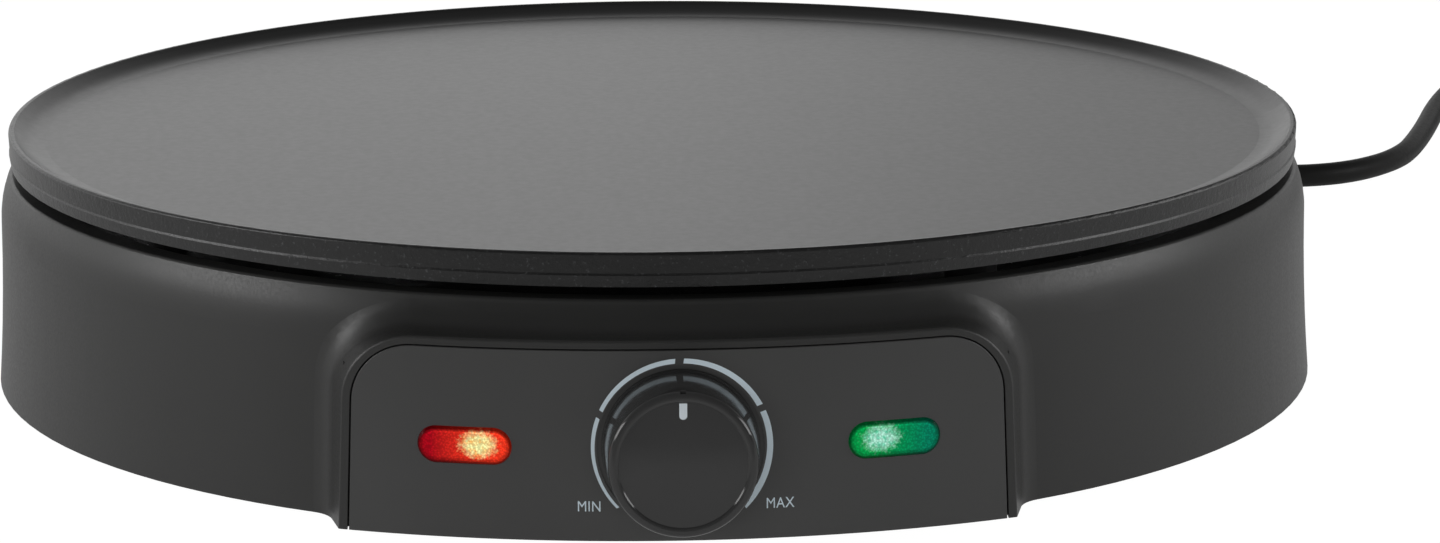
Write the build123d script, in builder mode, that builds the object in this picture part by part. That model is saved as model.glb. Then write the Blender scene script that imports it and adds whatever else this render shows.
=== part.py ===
from build123d import *

import os
from math import asin, atan2, cos, degrees, pi, radians, sin, sqrt, tan

# Electric crepe maker: a round cast plate on a low drum housing with a control panel.
# Millimetres. Drawn about the axis of the round housing with z = 0 on the table, then moved
# back on saving, so that the saved origin is under the middle of the whole appliance.
# +Z is up, the control panel faces -Y and +X is to the right of someone facing it.

# ----------------------------------------------------------------------------
# Driving dimensions
# ----------------------------------------------------------------------------

# From the housing's axis to the middle of the appliance's footprint, along -Y
frame_shift = 8.8

# Fits
flat_gap = 0.3  # between a loose piece and the opening that holds it
thread_gap = 0.05  # radial, between a screw and its hole's wall
shaft_gap = 0.05  # radial, running fit of the control shaft
screw_clear = 0.3  # radial, round a screw that passes through a sheet or wall

# Housing: a thin drum, flared at its foot and rounded in at its shoulder
foot_height = 3.0  # from the table to the housing's lower edge
wall_overhang = 2.4  # of the wall, at the top of its flare, beyond the plate's edge
shoulder_drop = 21.8  # from the plate's top down to the start of the shoulder
flare_radius = 487.0
shoulder_radius = 26.1
shoulder_turn = 25.5
housing_wall = 2.4
lip_round = 0.8
well_inset = 5.0  # of the wall round the plate's well, from the plate's edge
well_wall = 2.2
deck_thickness = 2.4
deck_ledge = 35.0  # width of the ledge that carries the plate

# Control pod: the part of the housing that stands out round the panel
pod_radius = 206.6  # plan radius of its front
pod_proud = 8.4  # of its front, beyond the drum's wall
pod_half_width = 74.9  # at the draft's level
pod_draft = 2.2  # outwards to its foot, each side
draft_level = 20.0
pod_drop = 6.65  # of its top, below the housing's lip
pod_corner = 15.6
pod_flare = 12.0
pod_edge_round = 0.6
blend_radius = 9.0
form_depth = 8.0  # how far the form runs on below the foot before it is cut
pod_depth = 35.8  # from its front to where its form starts, inside the drum

# Control panel: the curved insert in the pod
frame_side = 2.25  # width of the pod's frame beside the panel
frame_top = 2.2  # and above it
frame_corner = 1.9  # and what it takes from the corner's radius
panel_thickness = 2.5
panel_groove = 0.2  # rounding along both sides of the gap round the panel
panel_screw_bite = 5.0
seat_width = 2.1
boss_inset = 8.3  # panel screw bosses, from the panel's sides
boss_low = 14.0  # height of the lower bosses
boss_drop = 11.1  # of the upper bosses below the panel's top
boss_length = 5.9
boss_radius = 3.2
lug_thickness = 2.4
lug_height = 10.0

# Baking plate
plate_diameter = 320.0
plate_top = 65.5
rim_depth = 3.0
rim_height = 7.8
rim_band = 5.2  # height of the upright band under the rounded crest
rim_draft = 0.4
rim_waist = 0.2  # how far the band draws in above its thin ridge
ridge_step = 0.5
crest_width = 0.7
cove_width = 7.6
rim_width = 9.0  # from the baking floor to the plate's edge
plate_thickness = 4.2
skirt_width = 3.2
spacer_inset = 18.0  # from the well's wall
spacer_start = 30.0
spacer_count = 4
plate_boss_radius = 7.0
plate_boss_height = 2.5
plate_screw_radius = 2.0
plate_screw_reach = 2.0  # what is left of the plate above each blind hole
spacer_radius = 6.0
spacer_height = 5.0  # between the pan's flange and the plate's bosses
washer_radius = 5.0
washer_thickness = 0.8
tag_length = 16.0
tag_width = 6.0

# Heating element, clamped in a cast ridge under the plate
element_inset = 15.0  # from the deck's opening
element_tube = 3.3
element_sink = 1.0
ridge_half_width = 7.0
ridge_depth = 5.0
ridge_draft = 1.2
element_azimuth = 60.0
element_gap_angle = 9.0
element_bend = 9.0
element_leg_drop = 6.6  # of the legs' ends below the deck
bead_length = 6.0
pin_radius = 1.3
pin_length = 4.0
tab_width = 6.3
tab_thickness = 0.8
tab_length = 8.0

# Reflector pan
pan_thickness = 0.8
pan_flange_inset = 10.0  # from the well's wall
pan_depth = 6.4
pan_gap = 2.2  # between the pan's wall and the deck's opening
pan_bend = 2.0
pan_step_radius = 68.0
pan_step = 2.0
leg_hole_radius = 4.8
lead_hole_radius = 3.2

# Base cover
cover_recess = 1.0
cover_thickness = 2.4
cover_fit = 0.4
cover_rib_height = 2.4
cover_rib_width = 2.0
cover_screw_inset = 14.4  # from the drum's wall
cover_screw_start = 20.0
cover_screw_count = 6
cover_cup_radius = 6.0
cover_cup_height = 2.6
cover_head_radius = 3.6
cover_head_height = 2.4
cover_head_sink = 0.6
cover_screw_radius = 1.95
cover_screw_length = 12.0
cover_boss_radius = 4.6
vent_count = 14
vent_inset = 70.4  # from the drum's wall
vent_length = 30.0
vent_width = 3.2
cover_ring_radius = 66.0

# Rubber feet
foot_inset = 30.4  # from the drum's wall
foot_start = 45.0
foot_count = 4
foot_radius = 8.0
foot_taper = 0.8
stem_radius = 2.6
barb_radius = 3.5
barb_height = 2.2

# Knob and thermostat
knob_back_radius = 17.5
knob_front_radius = 16.4
knob_length = 16.1
knob_gap = 0.6  # between the knob and the floor of its recess
knob_rim = 1.2
knob_face_radius = 14.3
knob_recess = 0.3  # of the flat face inside its rounded rim
knob_wall = 1.8
knob_face = 3.4
notch_width = 1.2
notch_depth = 0.5
knob_hub_radius = 5.5
knob_hub_back = 3.0
knob_rib_width = 1.4
recess_radius = 18.4
recess_depth = 1.2
pointer_width = 1.7
pointer_length = 3.6
pointer_centre = 12.0
pointer_depth = 0.7
pointer_round = 0.8  # of its lower end
shaft_radius = 3.0
shaft_flat = 1.0  # depth of the flat on the shaft
shaft_front = 4.6  # from the knob's front to the shaft's end
shaft_flat_length = 10.0
shaft_hole_gap = 1.2
bracket_depth = 20.3  # from the pod's front to the bracket's front face
bracket_thickness = 1.5
bracket_half_width = 19.0
bracket_bottom = 8.0
bracket_tab = 14.0
bracket_boss_reach = 13.0
bracket_boss_back = 7.5
bracket_boss_drop = 3.9
bracket_boss_radius = 3.6
bush_radius = 5.0
bush_length = 9.0
nut_size = 14.0
nut_height = 2.5
body_width = 32.0
body_height = 28.0
body_depth = 20.0
body_step = 5.0
contact_reach = 9.0
bulb_radius = 2.4
bulb_length = 64.0
bulb_row = -62.0
cradle_height = 1.6
cradle_width = 9.0
clip_width = 9.0
clip_sheet = 0.8
clip_ear = 9.0
clip_screw_radius = 1.5
clip_head_radius = 2.8
clip_head_height = 1.8
clip_lip = 2.0
capillary_radius = 0.8
capillary_azimuth = -55.6  # where it goes down through the reflector pan
capillary_inset = 9.5  # from the element's ridge

# Pilot lamps
lens_reach = 47.4
lens_drop = 0.2  # of the lamps' middle below the knob's axis
lens_length = 21.0
lens_height = 8.2
lens_proud = 0.5
lens_bevel = 0.5
lens_wall = 1.0
lens_gap = 0.12
lens_seat = 3.0
lens_flange = 1.6
lens_flange_thickness = 1.2
lamp_cup_wall = 1.2
lamp_cup_depth = 10.0
lamp_bulb_radius = 2.8
lamp_bulb_length = 15.0
lamp_rib_width = 1.5
lamp_rib_length = 15.0
lamp_rib_depth = 6.0

# Thermal fuse
fuse_row = 62.0
fuse_radius = 2.0
fuse_length = 11.0
fuse_lead = 8.0
lead_radius = 0.5

# Terminal block
block_azimuth = 45.0
block_inset = 26.4  # from the drum's wall
block_length = 30.0
block_width = 17.0
block_height = 15.0
block_poles = 3
block_screw_radius = 1.6
block_tower = 3.0
block_ear = 8.0
block_ear_height = 4.0

# Mains cord
cord_diameter = 6.6
cord_azimuth = 60.0
cord_exit_height = 17.0
relief_collar_radius = 8.6
relief_collar = 2.2
relief_length = 29.0
relief_root_radius = 6.2
relief_tip_radius = 4.5
relief_neck_radius = 5.6
relief_inside = 3.0
relief_grooves = 5
relief_groove_depth = 0.8
clamp_inset = 16.4  # from the drum's wall
clamp_width = 28.0
clamp_depth = 8.0
clamp_bar = 3.4
clamp_screw_reach = 9.5
clamp_screw_radius = 1.5
inner_cord_reach = 12.0  # of the cord beyond the middle of its clamp
wire_radius = 1.2
lamp_wire_radius = 0.8
lamp_lead_reach = 6.0

# Coil of cord behind the right side, with its tie and plug
coil_centre = (329.0, 349.0)
coil_mean_radius = 39.6
coil_width = 14.0
coil_height = 13.2
coil_round = 5.0
coil_lift = 1.0  # thickness of the tie under the coil
tie_angle = 70.0
lead_join_angle = 140.0
coil_turn_radius = 43.0
tie_width = 10.0
plug_exit_angle = 14.0
plug_gap = 34.0
plug_head_radius = 18.4
plug_head_length = 16.0
plug_grip_length = 24.0
plug_grip_radius = 8.5
plug_tail_length = 16.0
plug_tail_radius = 4.6
plug_edge_round = 1.6
plug_pin_radius = 2.4
plug_pin_length = 19.0
plug_pin_spacing = 19.0
plug_slot_width = 8.0
plug_slot_depth = 3.2
plug_strip_thickness = 0.8

# The cord's route on the table, from its strain relief to the coil (x, y, z)
lead_route = [
    (105.6, 182.9, 17.0),
    (130.0, 206.5, 4.6),
    (172.0, 204.5, 3.3),
    (205.0, 200.5, 3.3),
    (229.5, 222.0, 3.3),
    (243.0, 258.0, 3.3),
    (258.0, 310.0, 3.3),
    (275.0, 350.0, 3.6),
]

os.makedirs("parts", exist_ok=True)


# ----------------------------------------------------------------------------
# Helpers
# ----------------------------------------------------------------------------


def polar(radius, azimuth, z=0.0):
    """A point at a radius and an angle from +X, in degrees."""
    return (radius * cos(radians(azimuth)), radius * sin(radians(azimuth)), z)


def flare_at(z, inset=0.0):
    """Outside radius of the housing's flare at a height, less an inset."""
    return wall_radius + flare_radius - sqrt(flare_radius**2 - (shoulder_height - z) ** 2) - inset


def pod_front_at(x, inset=0.0):
    """Y of the pod's front at x, less an inset along the radius."""
    return pod_centre - sqrt((pod_radius - inset) ** 2 - x**2)


def arch_corners(half, top, foot):
    """Corners of the pod's or the panel's outline, its sides drafted outwards to the foot."""
    low = half + (draft_level - foot) * tan(radians(pod_draft))
    high = half - (top - draft_level) * tan(radians(pod_draft))
    return [(-low, foot), (-high, top), (high, top), (low, foot)]


def panel_plane(x, z):
    """A plane that touches the panel's front at x and z, facing outwards."""
    turn = x / pod_radius
    lean = (turn, sqrt(1 - turn**2))
    return Plane(
        origin=(x, pod_front_at(x), z), x_dir=(lean[1], lean[0], 0), z_dir=(lean[0], -lean[1], 0)
    )


def easy_radii(points):
    """The largest even bend at each corner of a route: 0.45 of its shorter run."""
    radii = []
    for before, corner, after in zip(points, points[1:], points[2:]):
        run_in = Vector(corner) - Vector(before)
        run_out = Vector(after) - Vector(corner)
        half_turn = radians(run_in.get_angle(run_out)) / 2
        radii.append(0.45 * min(run_in.length, run_out.length) / tan(half_turn))
    return radii


def tube_along(points, radius, bends=None):
    """A round tube on straight runs joined by tangent arcs."""
    with BuildPart() as tube:
        with BuildLine() as route:
            FilletPolyline(*points, radius=bends or easy_radii(points))
        with BuildSketch(Plane(origin=route.wire() @ 0, z_dir=route.wire() % 0)):
            Circle(radius)
        sweep(path=route.wire())
    return tube.part, route.wire().length


def pan_head_screw(radius, length, head_radius, head_height):
    """A pan head screw with its head's seat at z = 0, its shank up and its head down."""
    with BuildPart() as screw:
        Cylinder(radius, length, align=(Align.CENTER, Align.CENTER, Align.MIN))
        Cylinder(head_radius, head_height, align=(Align.CENTER, Align.CENTER, Align.MAX))
        fillet(screw.edges().group_by(Axis.Z)[0], head_height * 0.4)
    return screw.part


def on_pod_front(edges, back=0.0):
    """The edges that lie in the pod's curved front, above its foot."""
    return [
        edge
        for edge in edges
        if edge.center().Z > foot_height + 0.1
        and edge.center().Y < back
        and all(abs(Vector(p.X, p.Y - pod_centre).length - pod_radius) < 0.05 for p in (edge @ 0, edge @ 1))
        and abs(Vector((edge @ 0.5).X, (edge @ 0.5).Y - pod_centre).length - pod_radius) < 0.05
    ]


def save(part, name):
    """Move a finished piece into the saved frame, label it and write it as one STEP file."""
    piece = Pos(0, frame_shift, 0) * part
    piece.label = name
    export_step(piece, f"parts/{name}.step")


# ----------------------------------------------------------------------------
# Sizes that follow from the driving dimensions
# ----------------------------------------------------------------------------

plate_radius = plate_diameter / 2
plate_floor = plate_top - rim_depth
plate_back = plate_floor - plate_thickness
floor_radius = plate_radius - rim_width
rim_foot = plate_top - rim_height
plate_boss_foot = plate_back - plate_boss_height

wall_radius = plate_radius + wall_overhang
shoulder_height = plate_top - shoulder_drop
well_radius = plate_radius - well_inset
deck_opening = well_radius - deck_ledge
pan_flange_top = plate_boss_foot - spacer_height
deck_height = pan_flange_top - pan_thickness
spacer_pitch = well_radius - spacer_inset

form_foot = foot_height - form_depth
lip_radius = wall_radius - shoulder_radius * (1 - cos(radians(shoulder_turn)))
lip_height = shoulder_height + shoulder_radius * sin(radians(shoulder_turn))
shoulder_centre = wall_radius - shoulder_radius
deck_under = deck_height - deck_thickness
channel_radius = well_radius + well_wall
inner_shoulder = shoulder_radius - housing_wall
channel_top = lip_height - housing_wall

cover_under = foot_height + cover_recess
cover_top = cover_under + cover_thickness
cover_radius = flare_at(cover_top + cover_rib_height, housing_wall + cover_fit)
cover_seat = cover_top + cover_cup_height
cover_head_seat = cover_under + cover_head_sink + cover_head_height

pod_front = -wall_radius - pod_proud
pod_centre = pod_front + pod_radius
pod_side_y = pod_front_at(pod_half_width)
pod_top = lip_height - pod_drop
pod_root = pod_front + pod_depth
bracket_plane = pod_front + bracket_depth

panel_half_width = pod_half_width - frame_side
panel_top = pod_top - frame_top
panel_corner = pod_corner - frame_corner
boss_reach = panel_half_width - boss_inset
boss_heights = (boss_low, panel_top - boss_drop)
lug_plane = pod_front_at(boss_reach, panel_thickness) + boss_length
lug_inset = boss_reach - lug_height / 2
panel_gap_half = panel_half_width + flat_gap
panel_gap_top = panel_top + flat_gap
panel_gap_corner = panel_corner + flat_gap

pan_flange = well_radius - pan_flange_inset
pan_wall_radius = deck_opening - pan_gap
pan_floor = deck_height - pan_depth
element_radius = deck_opening - element_inset
ridge_foot = plate_back - ridge_depth
element_height = ridge_foot + element_sink
element_leg_end = deck_under - element_leg_drop

cover_screw_pitch = wall_radius - cover_screw_inset
vent_pitch = wall_radius - vent_inset
foot_pitch = wall_radius - foot_inset
block_pitch = wall_radius - block_inset
clamp_pitch = wall_radius - clamp_inset
inner_cord_end = clamp_pitch - inner_cord_reach

bracket_back = bracket_plane + bracket_thickness
bracket_top = deck_under - bracket_boss_drop
# the thermostat stands midway between the base cover and its bracket's tab
knob_height = (cover_top + bracket_top - bracket_thickness) / 2
lens_height_z = knob_height - lens_drop

recess_floor = pod_front + recess_depth
knob_back = recess_floor - knob_gap
knob_front = knob_back - knob_length
shaft_end = knob_front + shaft_front
pocket_floor = knob_front + knob_recess + pointer_depth

block_plane = Plane(
    origin=polar(block_pitch, block_azimuth, deck_under - block_height),
    x_dir=polar(1, block_azimuth),
)
pole_step = block_length / block_poles
pole_offsets = [pole_step * (k - (block_poles - 1) / 2) for k in range(block_poles)]
mount_offset = block_length / 2 + block_ear / 2

cord_radius = cord_diameter / 2
cord_direction = Vector(*polar(1, cord_azimuth))
cord_wall = flare_at(cord_exit_height)
relief_tip = cord_wall + relief_length
coil_axis = (coil_centre[0], coil_centre[1], 0)
saddle_foot = cord_exit_height + cord_radius

# ----------------------------------------------------------------------------
# Housing: drum and pod in one moulding, open below and in front of the panel
# ----------------------------------------------------------------------------

with BuildPart() as drum_form:
    with BuildSketch(Plane.XZ):
        with BuildLine():
            half_way = (form_foot + shoulder_height) / 2
            Polyline((0, lip_height), (0, form_foot), (flare_at(form_foot), form_foot))
            ThreePointArc(
                (flare_at(form_foot), form_foot),
                (flare_at(half_way), half_way),
                (wall_radius, shoulder_height),
            )
            CenterArc((shoulder_centre, shoulder_height), shoulder_radius, 0, shoulder_turn)
            Line((lip_radius, lip_height), (0, lip_height))
        make_face()
    revolve(axis=Axis.Z)

with BuildPart() as pod_form:
    for depth in (pod_front - 1, pod_root):
        half = pod_half_width + (depth - pod_side_y) * tan(radians(pod_flare))
        with BuildSketch(Plane.XZ.offset(-depth)):
            with BuildLine():
                arch = FilletPolyline(*arch_corners(half, pod_top, form_foot), radius=pod_corner)
                Line(arch @ 1, arch @ 0)
            make_face()
    loft(ruled=True)
    with BuildSketch(Plane.XY.offset(form_foot)):
        with Locations((0, pod_centre)):
            Circle(pod_radius)
    extrude(amount=pod_top - form_foot + 1, mode=Mode.INTERSECT)


def panel_arch(half, top, corner, foot):
    """The panel's outline, seen from the front."""
    with BuildSketch() as arch:
        with BuildLine():
            bow = FilletPolyline(*arch_corners(half, top, foot), radius=corner)
            Line(bow @ 1, bow @ 0)
        make_face()
    return arch.sketch


with BuildPart() as panel_seat:
    with BuildSketch(Plane.XZ):
        add(panel_arch(panel_gap_half, panel_gap_top, panel_gap_corner, form_foot))
    extrude(amount=1 - pod_front)
    with BuildSketch(Plane.XY.offset(form_foot)):
        with Locations((0, pod_centre)):
            Circle(pod_radius - panel_thickness)
    extrude(amount=panel_gap_top - form_foot + 1, mode=Mode.SUBTRACT)

with BuildPart() as housing:
    add(drum_form.part)
    add(pod_form.part)
    seam = new_edges(drum_form.part, pod_form.part, combined=housing.part)
    fillet([edge for edge in seam if edge.center().Z > form_foot + 1], blend_radius)
    # rounded lip round the plate
    fillet(housing.edges().filter_by(GeomType.CIRCLE).group_by(Axis.Z)[-1], lip_round)
    # the frame's front edge
    fillet(on_pod_front(housing.edges(), pod_side_y + 1), pod_edge_round)
    # cut to its foot
    with BuildSketch(Plane.XY.offset(form_foot)):
        Rectangle(3 * wall_radius, 3 * wall_radius)
    extrude(amount=form_depth, mode=Mode.SUBTRACT)
    # hollow, from below
    with BuildSketch(Plane.XZ):
        with BuildLine():
            inner_foot = flare_at(foot_height, housing_wall)
            inner_half = (foot_height + shoulder_height) / 2
            channel_turn = degrees(asin((channel_top - shoulder_height) / inner_shoulder))
            Polyline((0, deck_under), (0, form_foot), (inner_foot, form_foot), (inner_foot, foot_height))
            ThreePointArc(
                (inner_foot, foot_height),
                (flare_at(inner_half, housing_wall), inner_half),
                (wall_radius - housing_wall, shoulder_height),
            )
            crown = CenterArc((shoulder_centre, shoulder_height), inner_shoulder, 0, channel_turn)
            Polyline(
                crown @ 1, (channel_radius, channel_top), (channel_radius, deck_under), (0, deck_under)
            )
        make_face()
    revolve(axis=Axis.Z, mode=Mode.SUBTRACT)
    # the well above the deck, and the deck's opening
    with BuildSketch(Plane.XY.offset(deck_height)):
        Circle(well_radius)
    extrude(amount=plate_top - deck_height, mode=Mode.SUBTRACT)
    with BuildSketch(Plane.XY.offset(deck_under)):
        Circle(deck_opening)
    extrude(amount=deck_thickness, mode=Mode.SUBTRACT)
    # the pod's seat for the panel and the bore behind it
    add(panel_seat.part, mode=Mode.SUBTRACT)
    seat_edges = [
        edge
        for edge in on_pod_front(housing.edges())
        if abs(edge.center().X) < panel_gap_half + frame_side / 2
        and max((edge @ 0).Z, (edge @ 1).Z) < panel_gap_top + flat_gap
    ]
    fillet(seat_edges, panel_groove)
    with BuildSketch(Plane.XZ.offset(-pod_root)):
        add(
            panel_arch(
                panel_gap_half - seat_width, panel_gap_top - seat_width,
                panel_gap_corner - seat_width, form_foot,
            )
        )
    extrude(amount=pod_root - pod_front + 1, mode=Mode.SUBTRACT)
    # lugs that take the panel's screws
    lug_length = panel_gap_half - lug_inset + 1
    for side in (-1, 1):
        for height in boss_heights:
            lug_middle = side * (lug_inset + lug_length / 2)
            with BuildSketch(Plane.XZ.offset(-lug_plane)):
                with Locations((lug_middle, height)):
                    Rectangle(lug_length, lug_height)
            extrude(amount=-lug_thickness)
            with BuildSketch(Plane.XZ.offset(-lug_plane)):
                with Locations((side * boss_reach, height)):
                    Circle(clip_screw_radius + screw_clear)
            extrude(amount=-lug_thickness, mode=Mode.SUBTRACT)
    # bosses for the base cover's screws
    with BuildSketch(Plane.XY.offset(cover_seat)):
        with PolarLocations(cover_screw_pitch, cover_screw_count, start_angle=cover_screw_start):
            Circle(cover_boss_radius)
    extrude(amount=deck_under - cover_seat)
    with BuildSketch(Plane.XY.offset(cover_seat)):
        with PolarLocations(cover_screw_pitch, cover_screw_count, start_angle=cover_screw_start):
            Circle(cover_screw_radius + thread_gap)
    extrude(amount=cover_screw_length + 1, mode=Mode.SUBTRACT)
    # bosses under the deck for the thermostat's bracket
    bracket_boss_y = bracket_back + bracket_boss_back
    boss_spots = [(-bracket_boss_reach, bracket_boss_y), (bracket_boss_reach, bracket_boss_y)]
    with BuildSketch(Plane.XY.offset(bracket_top)):
        with Locations(*boss_spots):
            Circle(bracket_boss_radius)
    extrude(amount=bracket_boss_drop)
    with BuildSketch(Plane.XY.offset(bracket_top)):
        with Locations(*boss_spots):
            Circle(clip_screw_radius + thread_gap)
    extrude(amount=bracket_boss_drop + 1, mode=Mode.SUBTRACT)
    # saddle that the cord clamp closes
    with BuildSketch(Plane.XY.offset(saddle_foot)):
        with PolarLocations(clamp_pitch, 1, start_angle=cord_azimuth):
            Rectangle(clamp_depth, clamp_width)
    extrude(amount=deck_under - saddle_foot)
    clamp_plane = Plane(
        origin=polar(clamp_pitch, cord_azimuth, saddle_foot),
        x_dir=cord_direction, z_dir=(0, 0, 1),
    )
    clamp_spots = [(0, -clamp_screw_reach), (0, clamp_screw_reach)]
    with BuildSketch(clamp_plane):
        with Locations(*clamp_spots):
            Circle(clamp_screw_radius + thread_gap)
    extrude(amount=clamp_depth, mode=Mode.SUBTRACT)
    # holes for the plate's screws and the cord
    with BuildSketch(Plane.XY.offset(deck_under)):
        with PolarLocations(spacer_pitch, spacer_count, start_angle=spacer_start):
            Circle(plate_screw_radius + screw_clear)
    extrude(amount=deck_thickness, mode=Mode.SUBTRACT)
    with BuildSketch(block_plane.offset(block_height)):
        with Locations((0, -mount_offset), (0, mount_offset)):
            Circle(clip_screw_radius + thread_gap)
    extrude(amount=deck_thickness, mode=Mode.SUBTRACT)
    cord_plane = Plane(
        origin=polar(cord_wall - housing_wall * 2, cord_azimuth, cord_exit_height), z_dir=cord_direction
    )
    with BuildSketch(cord_plane):
        Circle(relief_neck_radius)
    extrude(amount=housing_wall * 3, mode=Mode.SUBTRACT)

save(housing.part, "housing")

# ----------------------------------------------------------------------------
# Baking plate: shallow dish, upright rim, element ridge and screw bosses below
# ----------------------------------------------------------------------------

element_span = element_radius * sin(radians(element_gap_angle))
bulb_height = plate_back - cradle_height - bulb_radius
fuse_height = plate_back - cradle_height - fuse_radius


def pad_depth(radius):
    """Depth of a pad under the plate that half wraps a rod of this radius."""
    return cradle_height + radius


with BuildPart() as baking_plate:
    with BuildSketch(Plane.XZ):
        with BuildLine():
            waist = (plate_radius - rim_waist, plate_top - rim_band + ridge_step)
            ridge = (plate_radius, plate_top - rim_band)
            Polyline((0, plate_back), (0, plate_floor), (floor_radius, plate_floor))
            TangentArc(
                (floor_radius, plate_floor), (floor_radius + cove_width, plate_top), tangent=(1, 0)
            )
            Line((floor_radius + cove_width, plate_top), (plate_radius - crest_width, plate_top))
            TangentArc(
                (plate_radius - crest_width, plate_top),
                (plate_radius, plate_top - crest_width),
                tangent=(1, 0),
            )
            Polyline(
                (plate_radius, plate_top - crest_width),
                waist,
                ridge,
                (plate_radius - rim_draft, rim_foot),
                (plate_radius - skirt_width, rim_foot),
                (plate_radius - skirt_width - rim_draft, plate_back),
                (0, plate_back),
            )
        make_face()
    revolve(axis=Axis.Z)
    # ridge that carries the heating element
    with BuildSketch(Plane.XZ):
        with BuildLine():
            inner = element_radius - ridge_half_width
            outer = element_radius + ridge_half_width
            Polyline(
                (inner, plate_back + 1),
                (inner, plate_back),
                (inner + ridge_draft, ridge_foot),
                (outer - ridge_draft, ridge_foot),
                (outer, plate_back),
                (outer, plate_back + 1),
                close=True,
            )
        make_face()
    revolve(axis=Axis.Z)
    with BuildSketch(Plane.XZ):
        with Locations((element_radius, element_height)):
            Circle(element_tube + thread_gap)
    revolve(axis=Axis.Z, mode=Mode.SUBTRACT)
    gap_plane = Plane(
        origin=polar(element_radius, element_azimuth, ridge_foot - 1),
        x_dir=polar(1, element_azimuth),
    )
    with BuildSketch(gap_plane):
        Rectangle(3 * ridge_half_width, 2 * element_span)
    extrude(amount=ridge_depth + 1, mode=Mode.SUBTRACT)
    # bosses on the spacers
    with BuildSketch(Plane.XY.offset(plate_boss_foot)):
        with PolarLocations(spacer_pitch, spacer_count, start_angle=spacer_start):
            Circle(plate_boss_radius)
    extrude(amount=plate_boss_height)
    with BuildSketch(Plane.XY.offset(plate_boss_foot)):
        with PolarLocations(spacer_pitch, spacer_count, start_angle=spacer_start):
            Circle(plate_screw_radius + thread_gap)
    extrude(amount=plate_floor - plate_screw_reach - plate_boss_foot, mode=Mode.SUBTRACT)
    # cradles for the sensing bulb and the thermal fuse, with room for their clips
    for row, radius in ((bulb_row, bulb_radius), (fuse_row, fuse_radius)):
        foot = plate_back - pad_depth(radius)
        ear_middle = row + (clip_ear - clip_lip) / 2
        with BuildSketch(Plane.XY.offset(foot)):
            with Locations((0, ear_middle)):
                Rectangle(cradle_width, clip_ear + clip_lip + 2 * radius)
        extrude(amount=pad_depth(radius))
        with BuildSketch(Plane.YZ.offset(-cradle_width)):
            with Locations((row, foot)):
                Circle(radius + thread_gap)
        extrude(amount=2 * cradle_width, mode=Mode.SUBTRACT)
        with BuildSketch(Plane.XY.offset(foot)):
            with Locations((0, row + radius + clip_ear / 2)):
                Circle(clip_screw_radius + thread_gap)
        extrude(amount=pad_depth(radius), mode=Mode.SUBTRACT)
save(baking_plate.part, "baking_plate")

# ----------------------------------------------------------------------------
# Heating element: a C of tube in the ridge, its two ends turned down
# ----------------------------------------------------------------------------

with BuildPart() as heating_element:
    start = element_azimuth + element_gap_angle
    turn = 360 - 2 * element_gap_angle
    leg_foot = element_height - element_bend
    with BuildLine() as element_route:
        ring = CenterArc((0, 0, element_height), element_radius, start, turn)
        for tip, heading in ((ring @ 0, -(ring % 0)), (ring @ 1, ring % 1)):
            bend_end = tip + heading * element_bend - Vector(0, 0, element_bend)
            bend = TangentArc(tip, bend_end, tangent=heading)
            Line(bend_end, bend_end - Vector(0, 0, leg_foot - element_leg_end))
    path = Wire(element_route.edges())
    with BuildSketch(Plane(origin=path @ 0, z_dir=path % 0)):
        Circle(element_tube)
    sweep(path=path)
save(heating_element.part, "heating_element")
leg_spots = [
    Vector(*polar(element_radius, element_azimuth + side * element_gap_angle))
    - side * element_bend * Vector(*polar(1, element_azimuth + side * element_gap_angle + 90))
    for side in (1, -1)
]
leg_spots = [(spot.X, spot.Y) for spot in leg_spots]
bead_foot = element_leg_end - bead_length
pin_foot = bead_foot - pin_length
element_tab_foot = pin_foot - tab_length

with BuildPart() as element_insulators:
    with BuildSketch(Plane.XY.offset(bead_foot)):
        with Locations(*leg_spots):
            Circle(element_tube)
            Circle(pin_radius + thread_gap, mode=Mode.SUBTRACT)
    extrude(amount=bead_length)
save(element_insulators.part, "element_insulators")

with BuildPart() as element_terminals:
    with BuildSketch(Plane.XY.offset(pin_foot)):
        with Locations(*leg_spots):
            Circle(pin_radius)
    extrude(amount=element_leg_end - pin_foot)
    with BuildSketch(Plane.XY.offset(element_tab_foot)):
        with Locations(*leg_spots):
            Rectangle(tab_width, tab_thickness)
    extrude(amount=tab_length + 1)
save(element_terminals.part, "element_terminals")

# ----------------------------------------------------------------------------
# Reflector pan, spacers and screws that hold the plate on the deck
# ----------------------------------------------------------------------------

capillary_down = polar(element_radius - ridge_half_width - capillary_inset, capillary_azimuth)
capillary_low = knob_height + 7.7
capillary_route = [
    (bulb_length / 2, bulb_row, bulb_height),
    (bulb_length / 2 + 11, bulb_row, bulb_height),
    (capillary_down[0], capillary_down[1], deck_height + 1.5),
    (capillary_down[0], capillary_down[1] - 1, pan_floor - 6.6),
    (42.0, bracket_back + body_depth + 35, capillary_low + 1),
    (24.0, bracket_back + body_depth + 18, capillary_low),
    (12.0, bracket_back + body_depth + 10, capillary_low),
    (12.0, bracket_back + body_depth, capillary_low),
]
fuse_hole_spots = [(-24.0, fuse_row - 6), (24.0, fuse_row - 6)]

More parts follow.
